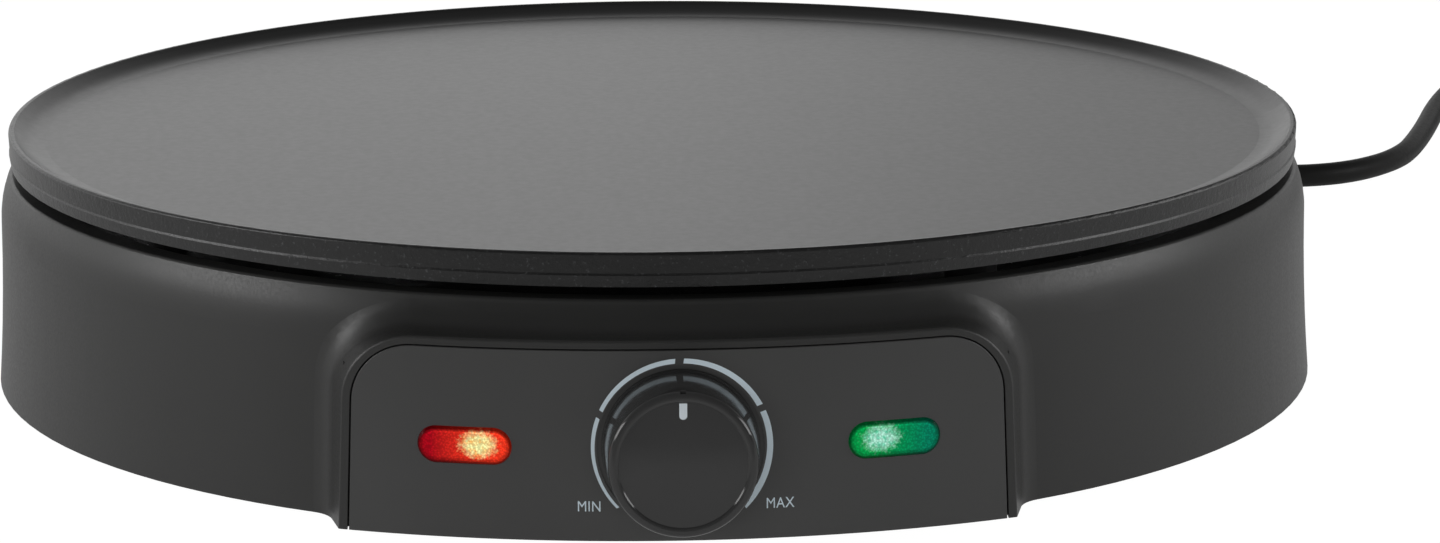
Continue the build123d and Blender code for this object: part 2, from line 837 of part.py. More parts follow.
with BuildPart() as reflector_pan:
    with BuildSketch(Plane.XZ):
        with BuildLine():
            wall_in = pan_wall_radius - pan_thickness
            rise = pan_floor + pan_step
            Polyline(
                (0, rise),
                (pan_step_radius, rise),
                (pan_step_radius + pan_step, pan_floor),
                (pan_wall_radius - pan_bend, pan_floor),
                (pan_wall_radius, pan_floor + pan_bend),
                (pan_wall_radius, deck_height),
                (pan_flange, deck_height),
                (pan_flange, pan_flange_top),
                (wall_in, pan_flange_top),
                (wall_in, pan_floor + pan_bend + pan_thickness / 3),
                (pan_wall_radius - pan_bend - pan_thickness / 3, pan_floor + pan_thickness),
                (pan_step_radius + pan_step + pan_thickness / 3, pan_floor + pan_thickness),
                (pan_step_radius + pan_thickness / 3, rise + pan_thickness),
                (0, rise + pan_thickness),
                close=True,
            )
        make_face()
    revolve(axis=Axis.Z)
    with BuildSketch(Plane.XY.offset(pan_floor)):
        with Locations(*leg_spots):
            Circle(leg_hole_radius)
        with Locations((capillary_route[3][0], capillary_route[3][1]), *fuse_hole_spots):
            Circle(lead_hole_radius)
    extrude(amount=pan_depth, mode=Mode.SUBTRACT)
    with BuildSketch(Plane.XY.offset(deck_height)):
        with PolarLocations(spacer_pitch, spacer_count, start_angle=spacer_start):
            Circle(plate_screw_radius + screw_clear)
    extrude(amount=pan_thickness, mode=Mode.SUBTRACT)
save(reflector_pan.part, "reflector_pan")

with BuildPart() as plate_spacers:
    with BuildSketch(Plane.XY.offset(pan_flange_top)):
        with PolarLocations(spacer_pitch, spacer_count, start_angle=spacer_start):
            Circle(spacer_radius)
            Circle(plate_screw_radius + screw_clear, mode=Mode.SUBTRACT)
    extrude(amount=plate_boss_foot - pan_flange_top)
save(plate_spacers.part, "plate_spacers")

plate_screw_seat = deck_under - washer_thickness
plate_screw_length = plate_floor - plate_screw_reach - 0.5 - plate_screw_seat
with BuildPart() as plate_screws:
    with PolarLocations(spacer_pitch, spacer_count, start_angle=spacer_start):
        add(
            Pos(0, 0, plate_screw_seat)
            * pan_head_screw(plate_screw_radius, plate_screw_length, 2 * plate_screw_radius, 2.4)
        )
save(plate_screws.part, "plate_screws")

with BuildPart() as plate_washers:
    with BuildSketch(Plane.XY.offset(plate_screw_seat)):
        with Locations(
            *[polar(spacer_pitch, spacer_start + 360 / spacer_count * k) for k in range(1, spacer_count)]
        ):
            Circle(washer_radius)
            Circle(plate_screw_radius + screw_clear, mode=Mode.SUBTRACT)
    extrude(amount=washer_thickness)
save(plate_washers.part, "plate_washers")

# Ring tag for the protective earth, under the first of the plate's screws
tag_plane = Plane(
    origin=polar(spacer_pitch, spacer_start, plate_screw_seat), x_dir=polar(1, spacer_start)
)
with BuildPart() as earth_tag:
    with BuildSketch(tag_plane):
        Circle(washer_radius)
        with Locations((-tag_length / 2, 0)):
            Rectangle(tag_length, tag_width)
        Circle(plate_screw_radius + screw_clear, mode=Mode.SUBTRACT)
    extrude(amount=washer_thickness)
save(earth_tag.part, "earth_tag")

# ----------------------------------------------------------------------------
# Sensing bulb with its capillary, thermal fuse and the clips that hold them
# ----------------------------------------------------------------------------

with BuildPart() as sensing_bulb:
    with BuildSketch(Plane.YZ.offset(-bulb_length / 2)):
        with Locations((bulb_row, bulb_height)):
            Circle(bulb_radius)
    extrude(amount=bulb_length)
    fillet(sensing_bulb.edges().filter_by(GeomType.CIRCLE), bulb_radius / 2)
save(sensing_bulb.part, "sensing_bulb")

capillary, capillary_length = tube_along(capillary_route, capillary_radius)
save(capillary, "capillary_tube")

with BuildPart() as thermal_fuse:
    with BuildSketch(Plane.YZ.offset(-fuse_length / 2)):
        with Locations((fuse_row, fuse_height)):
            Circle(fuse_radius)
    extrude(amount=fuse_length)
    fillet(thermal_fuse.edges().filter_by(GeomType.CIRCLE), fuse_radius / 4)
    with BuildSketch(Plane.YZ.offset(-fuse_length / 2 - fuse_lead)):
        with Locations((fuse_row, fuse_height)):
            Circle(lead_radius)
    extrude(amount=fuse_length + 2 * fuse_lead)
save(thermal_fuse.part, "thermal_fuse")

for clip_name, row, radius in (
    ("bulb_clip", bulb_row, bulb_radius),
    ("fuse_clip", fuse_row, fuse_radius),
):
    clip_face = plate_back - pad_depth(radius)
    bow_in = radius + thread_gap
    bow_out = bow_in + clip_sheet
    with BuildPart() as clip:
        with BuildSketch(Plane.YZ.offset(-clip_width / 2)):
            with Locations((row, clip_face)):
                Circle(bow_out)
            with Locations((row + (clip_ear - clip_lip) / 2, clip_face - clip_sheet / 2)):
                Rectangle(clip_ear + clip_lip + 2 * radius, clip_sheet)
            with Locations((row, clip_face)):
                Circle(bow_in, mode=Mode.SUBTRACT)
            with Locations((row, clip_face + 2 * bow_out)):
                Rectangle(6 * bow_out + clip_ear, 4 * bow_out, mode=Mode.SUBTRACT)
        extrude(amount=clip_width)
        with BuildSketch(Plane.XY.offset(clip_face - clip_sheet)):
            with Locations((0, row + radius + clip_ear / 2)):
                Circle(clip_screw_radius + screw_clear)
        extrude(amount=clip_sheet, mode=Mode.SUBTRACT)
    save(clip.part, clip_name)

with BuildPart() as clip_screws:
    for row, radius in ((bulb_row, bulb_radius), (fuse_row, fuse_radius)):
        seat = plate_back - pad_depth(radius) - clip_sheet
        with Locations((0, row + radius + clip_ear / 2, seat)):
            add(pan_head_screw(clip_screw_radius, pad_depth(radius), clip_head_radius, clip_head_height))
save(clip_screws.part, "clip_screws")

# ----------------------------------------------------------------------------
# Base cover with its tongue into the pod, screws and feet
# ----------------------------------------------------------------------------

tongue_half = panel_gap_half - seat_width - cover_fit
with BuildPart() as base_cover:
    with BuildSketch(Plane.XY.offset(cover_under)):
        Circle(cover_radius)
        with BuildSketch(mode=Mode.PRIVATE) as tongue:
            with Locations((0, pod_centre)):
                Circle(pod_radius - panel_thickness - cover_fit)
            with Locations((0, pod_root)):
                Rectangle(2 * tongue_half, 2 * (pod_root - pod_front), mode=Mode.INTERSECT)
        add(tongue.sketch)
    extrude(amount=cover_thickness)
    # upright rib round the edge, ring rib in the middle and cups for the screws
    with BuildSketch(Plane.XY.offset(cover_top)):
        Circle(cover_radius)
        Circle(cover_radius - cover_rib_width, mode=Mode.SUBTRACT)
    extrude(amount=cover_rib_height)
    with BuildSketch(Plane.XY.offset(cover_top)):
        Circle(cover_ring_radius)
        Circle(cover_ring_radius - cover_rib_width, mode=Mode.SUBTRACT)
    extrude(amount=cover_rib_height)
    with BuildSketch(Plane.XY.offset(cover_top)):
        with PolarLocations(cover_screw_pitch, cover_screw_count, start_angle=cover_screw_start):
            Circle(cover_cup_radius)
    extrude(amount=cover_cup_height)
    with BuildSketch(Plane.XY.offset(cover_under)):
        with PolarLocations(cover_screw_pitch, cover_screw_count, start_angle=cover_screw_start):
            Circle(cover_head_radius + flat_gap)
    extrude(amount=cover_head_seat - cover_under, mode=Mode.SUBTRACT)
    with BuildSketch(Plane.XY.offset(cover_under)):
        with PolarLocations(cover_screw_pitch, cover_screw_count, start_angle=cover_screw_start):
            Circle(cover_screw_radius + screw_clear)
    extrude(amount=cover_seat - cover_under, mode=Mode.SUBTRACT)
    # vents and the holes for the feet
    with BuildSketch(Plane.XY.offset(cover_under)):
        with PolarLocations(vent_pitch, vent_count):
            SlotOverall(vent_length, vent_width)
        with PolarLocations(foot_pitch, foot_count, start_angle=foot_start):
            Circle(stem_radius + thread_gap)
    extrude(amount=cover_thickness, mode=Mode.SUBTRACT)
save(base_cover.part, "base_cover")

with BuildPart() as cover_screws:
    with PolarLocations(cover_screw_pitch, cover_screw_count, start_angle=cover_screw_start):
        add(
            Pos(0, 0, cover_head_seat)
            * pan_head_screw(
                cover_screw_radius,
                cover_seat - cover_head_seat + cover_screw_length,
                cover_head_radius,
                cover_head_height,
            )
        )
save(cover_screws.part, "cover_screws")

with BuildPart() as foot_form:
    with BuildSketch(Plane.XZ):
        with BuildLine():
            Polyline(
                (0, 0),
                (foot_radius - foot_taper, 0),
                (foot_radius, foot_taper),
                (foot_radius, cover_under),
                (stem_radius, cover_under),
                (stem_radius, cover_top + thread_gap),
                (barb_radius, cover_top + thread_gap),
                (stem_radius - foot_taper, cover_top + barb_height),
                (0, cover_top + barb_height),
                close=True,
            )
        make_face()
    revolve(axis=Axis.Z)
with BuildPart() as rubber_feet:
    with PolarLocations(foot_pitch, foot_count, start_angle=foot_start):
        add(foot_form.part)
save(rubber_feet.part, "rubber_feet")

# ----------------------------------------------------------------------------
# Control panel: the curved insert with its recess, lamp windows and bosses
# ----------------------------------------------------------------------------

lens_planes = [panel_plane(reach, lens_height_z) for reach in (-lens_reach, lens_reach)]
panel_back_radius = pod_radius - panel_thickness
cup_half = lens_height / 2 + lens_flange
cup_back = lens_seat + lens_flange_thickness + lamp_cup_depth

with BuildPart() as control_panel:
    with BuildSketch(Plane.XZ):
        add(panel_arch(panel_half_width, panel_top, panel_corner, foot_height))
    extrude(amount=1 - pod_front)
    with BuildSketch(Plane.XY.offset(foot_height)) as panel_band:
        with Locations((0, pod_centre)):
            Circle(pod_radius)
            Circle(panel_back_radius, mode=Mode.SUBTRACT)
    extrude(amount=panel_top - foot_height, mode=Mode.INTERSECT)
    fillet(on_pod_front(control_panel.edges()), panel_groove)
    # screw bosses on its back
    for side in (-1, 1):
        with BuildSketch(Plane.XZ.offset(-lug_plane)):
            with Locations(*[(side * boss_reach, height) for height in boss_heights]):
                Circle(boss_radius)
        extrude(amount=lug_plane - pod_front_at(boss_reach, panel_thickness) + 1)
        with BuildSketch(Plane.XZ.offset(-lug_plane)):
            with Locations(*[(side * boss_reach, height) for height in boss_heights]):
                Circle(clip_screw_radius + thread_gap)
        extrude(amount=panel_screw_bite + flat_gap, mode=Mode.SUBTRACT)
    # flat seats, ribs and windows for the lamps
    for plane in lens_planes:
        with BuildSketch(plane.offset(-lens_seat)):
            SlotOverall(lens_length + 2 * lens_flange, 2 * cup_half)
        extrude(amount=panel_thickness / 2)
        with BuildSketch(plane.offset(-lens_seat - lamp_rib_depth)):
            with Locations((0, cup_half + lamp_rib_width), (0, -cup_half - lamp_rib_width)):
                Rectangle(lamp_rib_length, 2 * (lamp_rib_width - flat_gap))
        extrude(amount=lamp_rib_depth + panel_thickness / 3)
        with BuildSketch(plane.offset(-2 * lens_seat)):
            SlotOverall(lens_length + 2 * lens_gap, lens_height + 2 * lens_gap)
        extrude(amount=4 * lens_seat, mode=Mode.SUBTRACT)
    # the knob's recess and the hole for its shaft
    with BuildSketch(Plane.XZ.offset(-recess_floor)):
        with Locations((0, knob_height)):
            Circle(recess_radius)
    extrude(amount=2 * recess_depth, mode=Mode.SUBTRACT)
    with BuildSketch(Plane.XZ.offset(-lug_plane)):
        with Locations((0, knob_height)):
            Circle(shaft_radius + shaft_hole_gap)
    extrude(amount=-pod_front, mode=Mode.SUBTRACT)
save(control_panel.part, "control_panel")

with BuildPart() as panel_screws:
    for side in (-1, 1):
        for height in boss_heights:
            with Locations(
                Plane(
                    origin=(side * boss_reach, lug_plane + lug_thickness, height), z_dir=(0, -1, 0)
                )
            ):
                add(
                    pan_head_screw(
                        clip_screw_radius,
                        lug_thickness + panel_screw_bite,
                        clip_head_radius,
                        clip_head_height,
                    )
                )
save(panel_screws.part, "panel_screws")

# ----------------------------------------------------------------------------
# Pilot lamps: coloured windows, the neon bulbs behind them and their holders
# ----------------------------------------------------------------------------

for lamp_name, plane in zip(("power", "ready"), lens_planes):
    with BuildPart() as lens:
        with BuildSketch(plane.offset(-lens_seat - lens_flange_thickness)):
            SlotOverall(lens_length + 2 * lens_flange, 2 * cup_half)
        extrude(amount=lens_flange_thickness)
        with BuildSketch(plane.offset(-lens_seat)):
            SlotOverall(lens_length, lens_height)
        extrude(amount=lens_seat + lens_proud)
        lens_front = lens.faces().sort_by(Axis(plane.origin, plane.z_dir))[-1]
        chamfer(lens_front.edges(), lens_bevel)
        with BuildSketch(plane.offset(-lens_seat - lens_flange_thickness)):
            SlotOverall(lens_length - 2 * lens_wall, lens_height - 2 * lens_wall)
        extrude(amount=lens_seat, mode=Mode.SUBTRACT)
    save(lens.part, f"{lamp_name}_lens")

    bulb_reach = cup_back - lamp_cup_wall - lamp_bulb_radius - thread_gap
    with BuildPart() as bulb:
        tube_plane = Plane(
            origin=plane.origin - plane.z_dir * bulb_reach - plane.x_dir * lamp_bulb_length / 2,
            z_dir=plane.x_dir,
        )
        with BuildSketch(tube_plane):
            Circle(lamp_bulb_radius)
        extrude(amount=lamp_bulb_length)
        fillet(bulb.edges().filter_by(GeomType.CIRCLE), lamp_bulb_radius * 0.6)
    save(bulb.part, f"{lamp_name}_lamp")

with BuildPart() as lamp_holders:
    for plane in lens_planes:
        with BuildSketch(plane.offset(-cup_back)):
            SlotOverall(lens_length + 2 * lens_flange, 2 * cup_half)
        extrude(amount=lamp_cup_depth)
        with BuildSketch(plane.offset(-cup_back + lamp_cup_wall)):
            SlotOverall(
                lens_length + 2 * (lens_flange - lamp_cup_wall), 2 * (cup_half - lamp_cup_wall)
            )
        extrude(amount=lamp_cup_depth, mode=Mode.SUBTRACT)
save(lamp_holders.part, "lamp_holders")

# ----------------------------------------------------------------------------
# Knob: a hollow tapered shell with a dished face, a hub and ribs behind
# ----------------------------------------------------------------------------


def pointer_outline():
    """The pointer, straight above and round below."""
    with BuildSketch() as outline:
        Rectangle(pointer_width, pointer_length)
        fillet(outline.vertices().group_by(Axis.Y)[0], pointer_round)
    return outline.sketch


bore_end = shaft_end - flat_gap
cavity_floor = knob_front + knob_face
half_section = Plane(origin=(0, 0, knob_height))
knob_axis = Axis((0, 0, knob_height), (0, 1, 0))
with BuildPart() as control_knob:
    with BuildSketch(half_section):
        with BuildLine():
            face_edge = (knob_face_radius, knob_front)
            face_corner = (knob_face_radius - knob_recess, knob_front + knob_recess)
            face_middle = (0, knob_front + knob_recess)
            shoulder = (knob_front_radius, knob_front + knob_rim)
            back_edge = (knob_back_radius, knob_back)
            Polyline(face_edge, face_corner, face_middle, (0, knob_back), back_edge, shoulder)
            TangentArc(shoulder, face_edge, tangent=Vector(*shoulder) - Vector(*back_edge))
        make_face()
    revolve(axis=knob_axis)
    with BuildSketch(half_section):
        with BuildLine():
            Polyline(
                (knob_hub_radius, cavity_floor),
                (knob_front_radius - knob_wall, cavity_floor),
                (knob_back_radius - knob_wall, knob_back),
                (0, knob_back),
                (0, knob_back - knob_hub_back),
                (knob_hub_radius, knob_back - knob_hub_back),
                close=True,
            )
        make_face()
    revolve(axis=knob_axis, mode=Mode.SUBTRACT)
    with BuildSketch(Plane.XZ.offset(-cavity_floor - knob_hub_back)):
        with Locations((0, knob_height)):
            with PolarLocations((knob_hub_radius + knob_front_radius - knob_wall) / 2, 4, start_angle=45):
                Rectangle(knob_front_radius - knob_wall - knob_hub_radius + 1, knob_rib_width)
    extrude(amount=knob_hub_back)
    # D-shaped bore for the shaft
    with BuildSketch(Plane.XZ.offset(-knob_back)):
        with Locations((0, knob_height)):
            Circle(shaft_radius + shaft_gap)
        with Locations((0, knob_height + 2 * shaft_radius - shaft_flat + shaft_gap)):
            Rectangle(3 * shaft_radius, 2 * shaft_radius, mode=Mode.SUBTRACT)
    extrude(amount=knob_back - bore_end, mode=Mode.SUBTRACT)
    # pocket for the pointer and the small notch in the rim above it
    with BuildSketch(Plane.XZ.offset(-pocket_floor)):
        with Locations((0, knob_height + pointer_centre)):
            add(pointer_outline())
    extrude(amount=2 * pointer_depth, mode=Mode.SUBTRACT)
    with BuildSketch(Plane.XZ.offset(-knob_front - knob_rim - notch_depth)):
        with Locations((0, knob_height + knob_front_radius)):
            Rectangle(notch_width, 2 * notch_depth)
    extrude(amount=2 * knob_rim, mode=Mode.SUBTRACT)
save(control_knob.part, "control_knob")

with BuildPart() as knob_pointer:
    with BuildSketch(Plane.XZ.offset(-pocket_floor)):
        with Locations((0, knob_height + pointer_centre)):
            add(pointer_outline())
    extrude(amount=pointer_depth)
save(knob_pointer.part, "knob_pointer")

# ----------------------------------------------------------------------------
# Thermostat behind the panel: shaft, bush, nut, bracket and body
# ----------------------------------------------------------------------------


def from_panel(y):
    """A plane that faces the front at this y, its origin on the knob's axis."""
    return Plane(origin=(0, y, knob_height), x_dir=(1, 0, 0), z_dir=(0, -1, 0))


with BuildPart() as thermostat_shaft:
    with BuildSketch(from_panel(bracket_back + body_step)):
        Circle(shaft_radius)
    extrude(amount=bracket_back + body_step - shaft_end)
    with BuildSketch(from_panel(shaft_end + shaft_flat_length)):
        with Locations((0, 2 * shaft_radius - shaft_flat)):
            Rectangle(3 * shaft_radius, 2 * shaft_radius)
    extrude(amount=shaft_flat_length + 1, mode=Mode.SUBTRACT)
save(thermostat_shaft.part, "thermostat_shaft")

with BuildPart() as thermostat_bush:
    with BuildSketch(from_panel(bracket_back)):
        Circle(bush_radius)
        Circle(shaft_radius + shaft_gap, mode=Mode.SUBTRACT)
    extrude(amount=bush_length)
save(thermostat_bush.part, "thermostat_bush")

with BuildPart() as thermostat_nut:
    with BuildSketch(from_panel(bracket_plane)):
        RegularPolygon(nut_size / 2, 6, major_radius=False)
        Circle(bush_radius + thread_gap, mode=Mode.SUBTRACT)
    extrude(amount=nut_height)
save(thermostat_nut.part, "thermostat_nut")

with BuildPart() as thermostat_bracket:
    with BuildSketch(Plane.XZ.offset(-bracket_back)):
        with Locations((0, (bracket_bottom + bracket_top) / 2)):
            Rectangle(2 * bracket_half_width, bracket_top - bracket_bottom)
        with Locations((0, knob_height)):
            Circle(bush_radius + flat_gap, mode=Mode.SUBTRACT)
    extrude(amount=bracket_thickness)
    with BuildSketch(Plane.XY.offset(bracket_top - bracket_thickness)):
        with Locations((0, bracket_plane + bracket_tab / 2)):
            Rectangle(2 * bracket_half_width, bracket_tab)
        with Locations(*boss_spots):
            Circle(clip_screw_radius + screw_clear, mode=Mode.SUBTRACT)
    extrude(amount=bracket_thickness)
    corners = thermostat_bracket.edges().filter_by(Axis.Y).group_by(Axis.Z)[0]
    fillet(corners, bracket_thickness * 2)
save(thermostat_bracket.part, "thermostat_bracket")

with BuildPart() as bracket_screws:
    with Locations(*[(x, y, bracket_top - bracket_thickness) for x, y in boss_spots]):
        add(
            pan_head_screw(
                clip_screw_radius,
                bracket_thickness + bracket_boss_drop,
                clip_head_radius,
                clip_head_height,
            )
        )
save(bracket_screws.part, "bracket_screws")

with BuildPart() as thermostat_body:
    with BuildSketch(from_panel(bracket_back + body_depth)):
        RectangleRounded(body_width, body_height, 2 * flat_gap)
    extrude(amount=body_depth - body_step)
    with BuildSketch(from_panel(bracket_back + body_step)):
        RectangleRounded(body_width - body_step, body_height - body_step, 2 * flat_gap)
    extrude(amount=body_step)
    with BuildSketch(from_panel(bracket_back + body_step + thread_gap)):
        Circle(shaft_radius + shaft_gap)
    extrude(amount=2 * body_step, mode=Mode.SUBTRACT)
save(thermostat_body.part, "thermostat_body")

with BuildPart() as thermostat_tabs:
    with BuildSketch(from_panel(bracket_back + body_depth + tab_length)):
        with Locations((-contact_reach, 0), (contact_reach, 0)):
            Rectangle(tab_thickness, tab_width)
    extrude(amount=tab_length)
save(thermostat_tabs.part, "thermostat_tabs")

# ----------------------------------------------------------------------------
# Terminal block under the deck and the wires inside
# ----------------------------------------------------------------------------

with BuildPart() as terminal_block:
    with BuildSketch(block_plane):
        Rectangle(block_width, block_length)
    extrude(amount=block_height)
    with BuildSketch(block_plane.offset(block_height - block_ear_height)):
        Rectangle(block_width / 2, block_length + 2 * block_ear)
    extrude(amount=block_ear_height)
    with BuildSketch(block_plane.offset(-block_tower)):
        for offset in pole_offsets:
            with Locations((-block_width / 4, offset), (block_width / 4, offset)):
                Circle(block_screw_radius + 1)
    extrude(amount=block_tower)
    with BuildSketch(block_plane.offset(-block_tower)):
        for offset in pole_offsets:
            with Locations((-block_width / 4, offset), (block_width / 4, offset)):
                Circle(block_screw_radius + thread_gap)
    extrude(amount=2 * block_tower, mode=Mode.SUBTRACT)
    with BuildSketch(block_plane.offset(block_height - block_ear_height)):
        with Locations((0, -mount_offset), (0, mount_offset)):
            Circle(clip_screw_radius + thread_gap)
    extrude(amount=block_ear_height, mode=Mode.SUBTRACT)
save(terminal_block.part, "terminal_block")

with BuildPart() as terminal_screws:
    with BuildSketch(block_plane.offset(-block_tower / 2)):
        for offset in pole_offsets:
            with Locations((-block_width / 4, offset), (block_width / 4, offset)):
                Circle(block_screw_radius)
    extrude(amount=block_tower)
save(terminal_screws.part, "terminal_screws")

with BuildPart() as block_screws:
    with Locations(block_plane.offset(block_height - block_ear_height)):
        with Locations((0, -mount_offset), (0, mount_offset)):
            add(
                pan_head_screw(
                    clip_screw_radius,
                    block_ear_height + deck_thickness - thread_gap,
                    clip_head_radius,
                    clip_head_height,
                )
            )
save(block_screws.part, "block_screws")

# Wires inside the base: route points end on the pieces that they join
entry_height = deck_under - block_height / 2
inner_face = [
    tuple(block_plane.from_local_coords((-block_width / 2, offset, block_height / 2)))
    for offset in pole_offsets
]
outer_face = [
    tuple(block_plane.from_local_coords((block_width / 2, offset, block_height / 2)))
    for offset in pole_offsets
]


def beside(point, radial, tangential, z):
    """A point moved along the terminal block's own directions, at a height z."""
    out = Vector(*polar(radial, block_azimuth))
    along = Vector(*polar(tangential, block_azimuth + 90))
    moved = Vector(*point) + out + along
    return (moved.X, moved.Y, z)


inner_end = [
    tuple(
        Vector(*polar(inner_cord_end, cord_azimuth, cord_exit_height))
        + Vector(*polar(offset, cord_azimuth + 90))
        + Vector(0, 0, lift)
    )
    for offset, lift in ((-1.6, 1.0), (0.0, -1.7), (1.6, 1.0))
]
with BuildPart() as supply_wires:
    for k in range(block_poles):
        nest = 3.5 * k
        pole = inner_face[block_poles - 1 - k]
        ahead = Vector(*inner_end[k]) - (7 + nest) * cord_direction
        route = [
            inner_end[k],
            tuple(ahead),
            beside(pole, -9 - nest, 6, entry_height - 10),
            beside(pole, -6, 0, entry_height),
            pole,
        ]
        add(tube_along(route, wire_radius)[0])
save(supply_wires.part, "supply_wires")

tab_row = bracket_back + body_depth + tab_length
earth_point = polar(spacer_pitch - tag_length * 2 / 3, spacer_start, plate_screw_seat)
with BuildPart() as earth_wire:
    route = [
        outer_face[0],
        beside(outer_face[0], 6, 0, entry_height),
        beside(outer_face[0], 3, -14, entry_height - 5),
        (earth_point[0], earth_point[1], plate_screw_seat - 10),
        earth_point,
    ]
    add(tube_along(route, wire_radius)[0])
save(earth_wire.part, "earth_wire")

low = cover_top + 6.0
with BuildPart() as neutral_wire:
    route = [
        outer_face[2],
        beside(outer_face[2], 6, 0, entry_height),
        beside(outer_face[2], 4, 1, entry_height - 14),
        beside(outer_face[2], -22, 3, low + 7),
        (leg_spots[1][0], leg_spots[1][1], element_tab_foot - 8),
        (leg_spots[1][0], leg_spots[1][1], element_tab_foot),
    ]
    add(tube_along(route, wire_radius)[0])
save(neutral_wire.part, "neutral_wire")

with BuildPart() as live_wire:
    route = [
        outer_face[1],
        beside(outer_face[1], 6, 0, entry_height),
        beside(outer_face[1], 4, -1, entry_height - 16),
        beside(outer_face[1], -24, -3, low),
        (70.0, 50.0, low),
        (57.0, 0.0, low),
        (34.0, -50.0, low),
        (20.0, -90.0, low + 4),
        (contact_reach, tab_row + 12, knob_height),
        (contact_reach, tab_row, knob_height),
    ]
    add(tube_along(route, wire_radius)[0])
save(live_wire.part, "live_wire")

fuse_tips = [(side * (fuse_length / 2 + fuse_lead), fuse_row, fuse_height) for side in (-1, 1)]
hole_left, hole_right = fuse_hole_spots
with BuildPart() as switched_wires:
    to_thermostat = [
        fuse_tips[0],
        (fuse_tips[0][0] - 6, fuse_row, fuse_height),
        (hole_left[0], hole_left[1], fuse_height - 7),
        (hole_left[0], hole_left[1], pan_floor - 8),
        (-28.0, 40.0, low + 8),
        (-30.0, 0.0, low),
        (-26.0, -50.0, low),
        (-15.0, -90.0, low + 4),
        (-contact_reach, tab_row + 12, knob_height),
        (-contact_reach, tab_row, knob_height),
    ]
    to_element = [
        fuse_tips[1],
        (fuse_tips[1][0] + 6, fuse_row, fuse_height),
        (hole_right[0], hole_right[1], fuse_height - 7),
        (hole_right[0], hole_right[1], pan_floor - 10),
        (36.0, 74.0, low + 8),
        (leg_spots[0][0], leg_spots[0][1], element_tab_foot - 8),
        (leg_spots[0][0], leg_spots[0][1], element_tab_foot),
    ]
    for route in (to_thermostat, to_element):
        add(tube_along(route, wire_radius)[0])
save(switched_wires.part, "switched_wires")

lead_backs = [
    plane.from_local_coords((reach, 0, -cup_back))
    for plane in lens_planes
    for reach in (-lamp_lead_reach, lamp_lead_reach)
]
with BuildPart() as lamp_wires:
    for tip, plane, side in ((lead_backs[1], lens_planes[0], -1), (lead_backs[2], lens_planes[1], 1)):
        route = [
            tuple(tip),
            tuple(tip - 8 * plane.z_dir),
            (side * 25.0, tab_row - 5, lens_height_z + 0.5),
            (side * 17.5, tab_row - 3, knob_height),
            (side * (contact_reach + tab_thickness / 2), tab_row - 3, knob_height),
        ]
        add(tube_along(route, lamp_wire_radius)[0])
    route = [
        tuple(lead_backs[0]),
        tuple(lead_backs[0] - 9 * lens_planes[0].z_dir),
        (-44.0, -128.0, 16.0),
        (-20.0, -112.0, low + 2),
        (20.0, -111.0, low + 2),
        (44.0, -128.0, 16.0),
        tuple(lead_backs[3] - 9 * lens_planes[1].z_dir),
        tuple(lead_backs[3]),
    ]
    add(tube_along(route, lamp_wire_radius)[0])
save(lamp_wires.part, "lamp_wires")

# ----------------------------------------------------------------------------
# Mains cord: strain relief, clamp, lead, coil with its tie, and the plug
# ----------------------------------------------------------------------------

relief_plane = Plane(
    origin=polar(0, cord_azimuth, cord_exit_height), x_dir=(0, 0, 1),
    z_dir=Vector(*polar(1, cord_azimuth + 90)),
)
inner_wall = cord_wall - housing_wall
with BuildPart() as cord_bush:
    with BuildSketch(relief_plane):
        with BuildLine():
            groove = (relief_length - relief_collar) / (2 * relief_grooves + 1)
            rings = []
            for k in range(relief_grooves):
                root = relief_collar + groove * (2 * k + 1)
                slope = (relief_root_radius - relief_tip_radius) / (relief_length - relief_collar)
                top = relief_root_radius - slope * (root - relief_collar)
                rings += [
                    (top, root),
                    (top - relief_groove_depth, root),
                    (top - slope * groove - relief_groove_depth, root + groove),
                    (top - slope * groove, root + groove),
                ]
            profile = [
                (0, -housing_wall),
                (relief_collar_radius, -housing_wall),
                (relief_collar_radius, relief_collar),
                (relief_root_radius, relief_collar),
                *rings,
                (relief_tip_radius, relief_length),
                (0, relief_length),
            ]
            Polyline(*[(radius, cord_wall + along) for radius, along in profile], close=True)
        make_face()
    revolve(axis=Axis(polar(0, 0, cord_exit_height), polar(1, cord_azimuth)))
    add(drum_form.part, mode=Mode.SUBTRACT)
    neck_plane = Plane(
        origin=polar(inner_wall - relief_inside, cord_azimuth, cord_exit_height), z_dir=cord_direction
    )
    with BuildSketch(neck_plane):
        Circle(relief_neck_radius - thread_gap)
    extrude(amount=relief_inside + 2 * housing_wall)
    with BuildSketch(neck_plane):
        Circle(relief_neck_radius + relief_collar)
    extrude(amount=relief_inside - cover_recess)
save(cord_bush.part, "cord_bush")

with BuildPart() as inner_cord:
    inner_plane = Plane(origin=polar(inner_cord_end, cord_azimuth, cord_exit_height), z_dir=cord_direction)
    with BuildSketch(inner_plane):
        Circle(cord_radius)
    extrude(amount=inner_wall - relief_inside - inner_cord_end)
save(inner_cord.part, "inner_cord")

clamp_top = cord_exit_height - cord_radius
bar_plane = Plane(origin=polar(clamp_pitch, cord_azimuth, clamp_top - clamp_bar), x_dir=cord_direction)
with BuildPart() as cord_clamp:
    with BuildSketch(bar_plane):
        RectangleRounded(clamp_depth, clamp_width, clamp_bar / 2)
        with Locations(*clamp_spots):
            Circle(clamp_screw_radius + screw_clear, mode=Mode.SUBTRACT)
    extrude(amount=clamp_bar)
save(cord_clamp.part, "cord_clamp")

with BuildPart() as clamp_screws:
    with Locations(bar_plane):
        with Locations(*clamp_spots):
            add(
                pan_head_screw(
                    clamp_screw_radius,
                    clamp_bar + cord_diameter + clamp_depth - 1,
                    clip_head_radius,
                    clip_head_height,
                )
            )
save(clamp_screws.part, "clamp_screws")

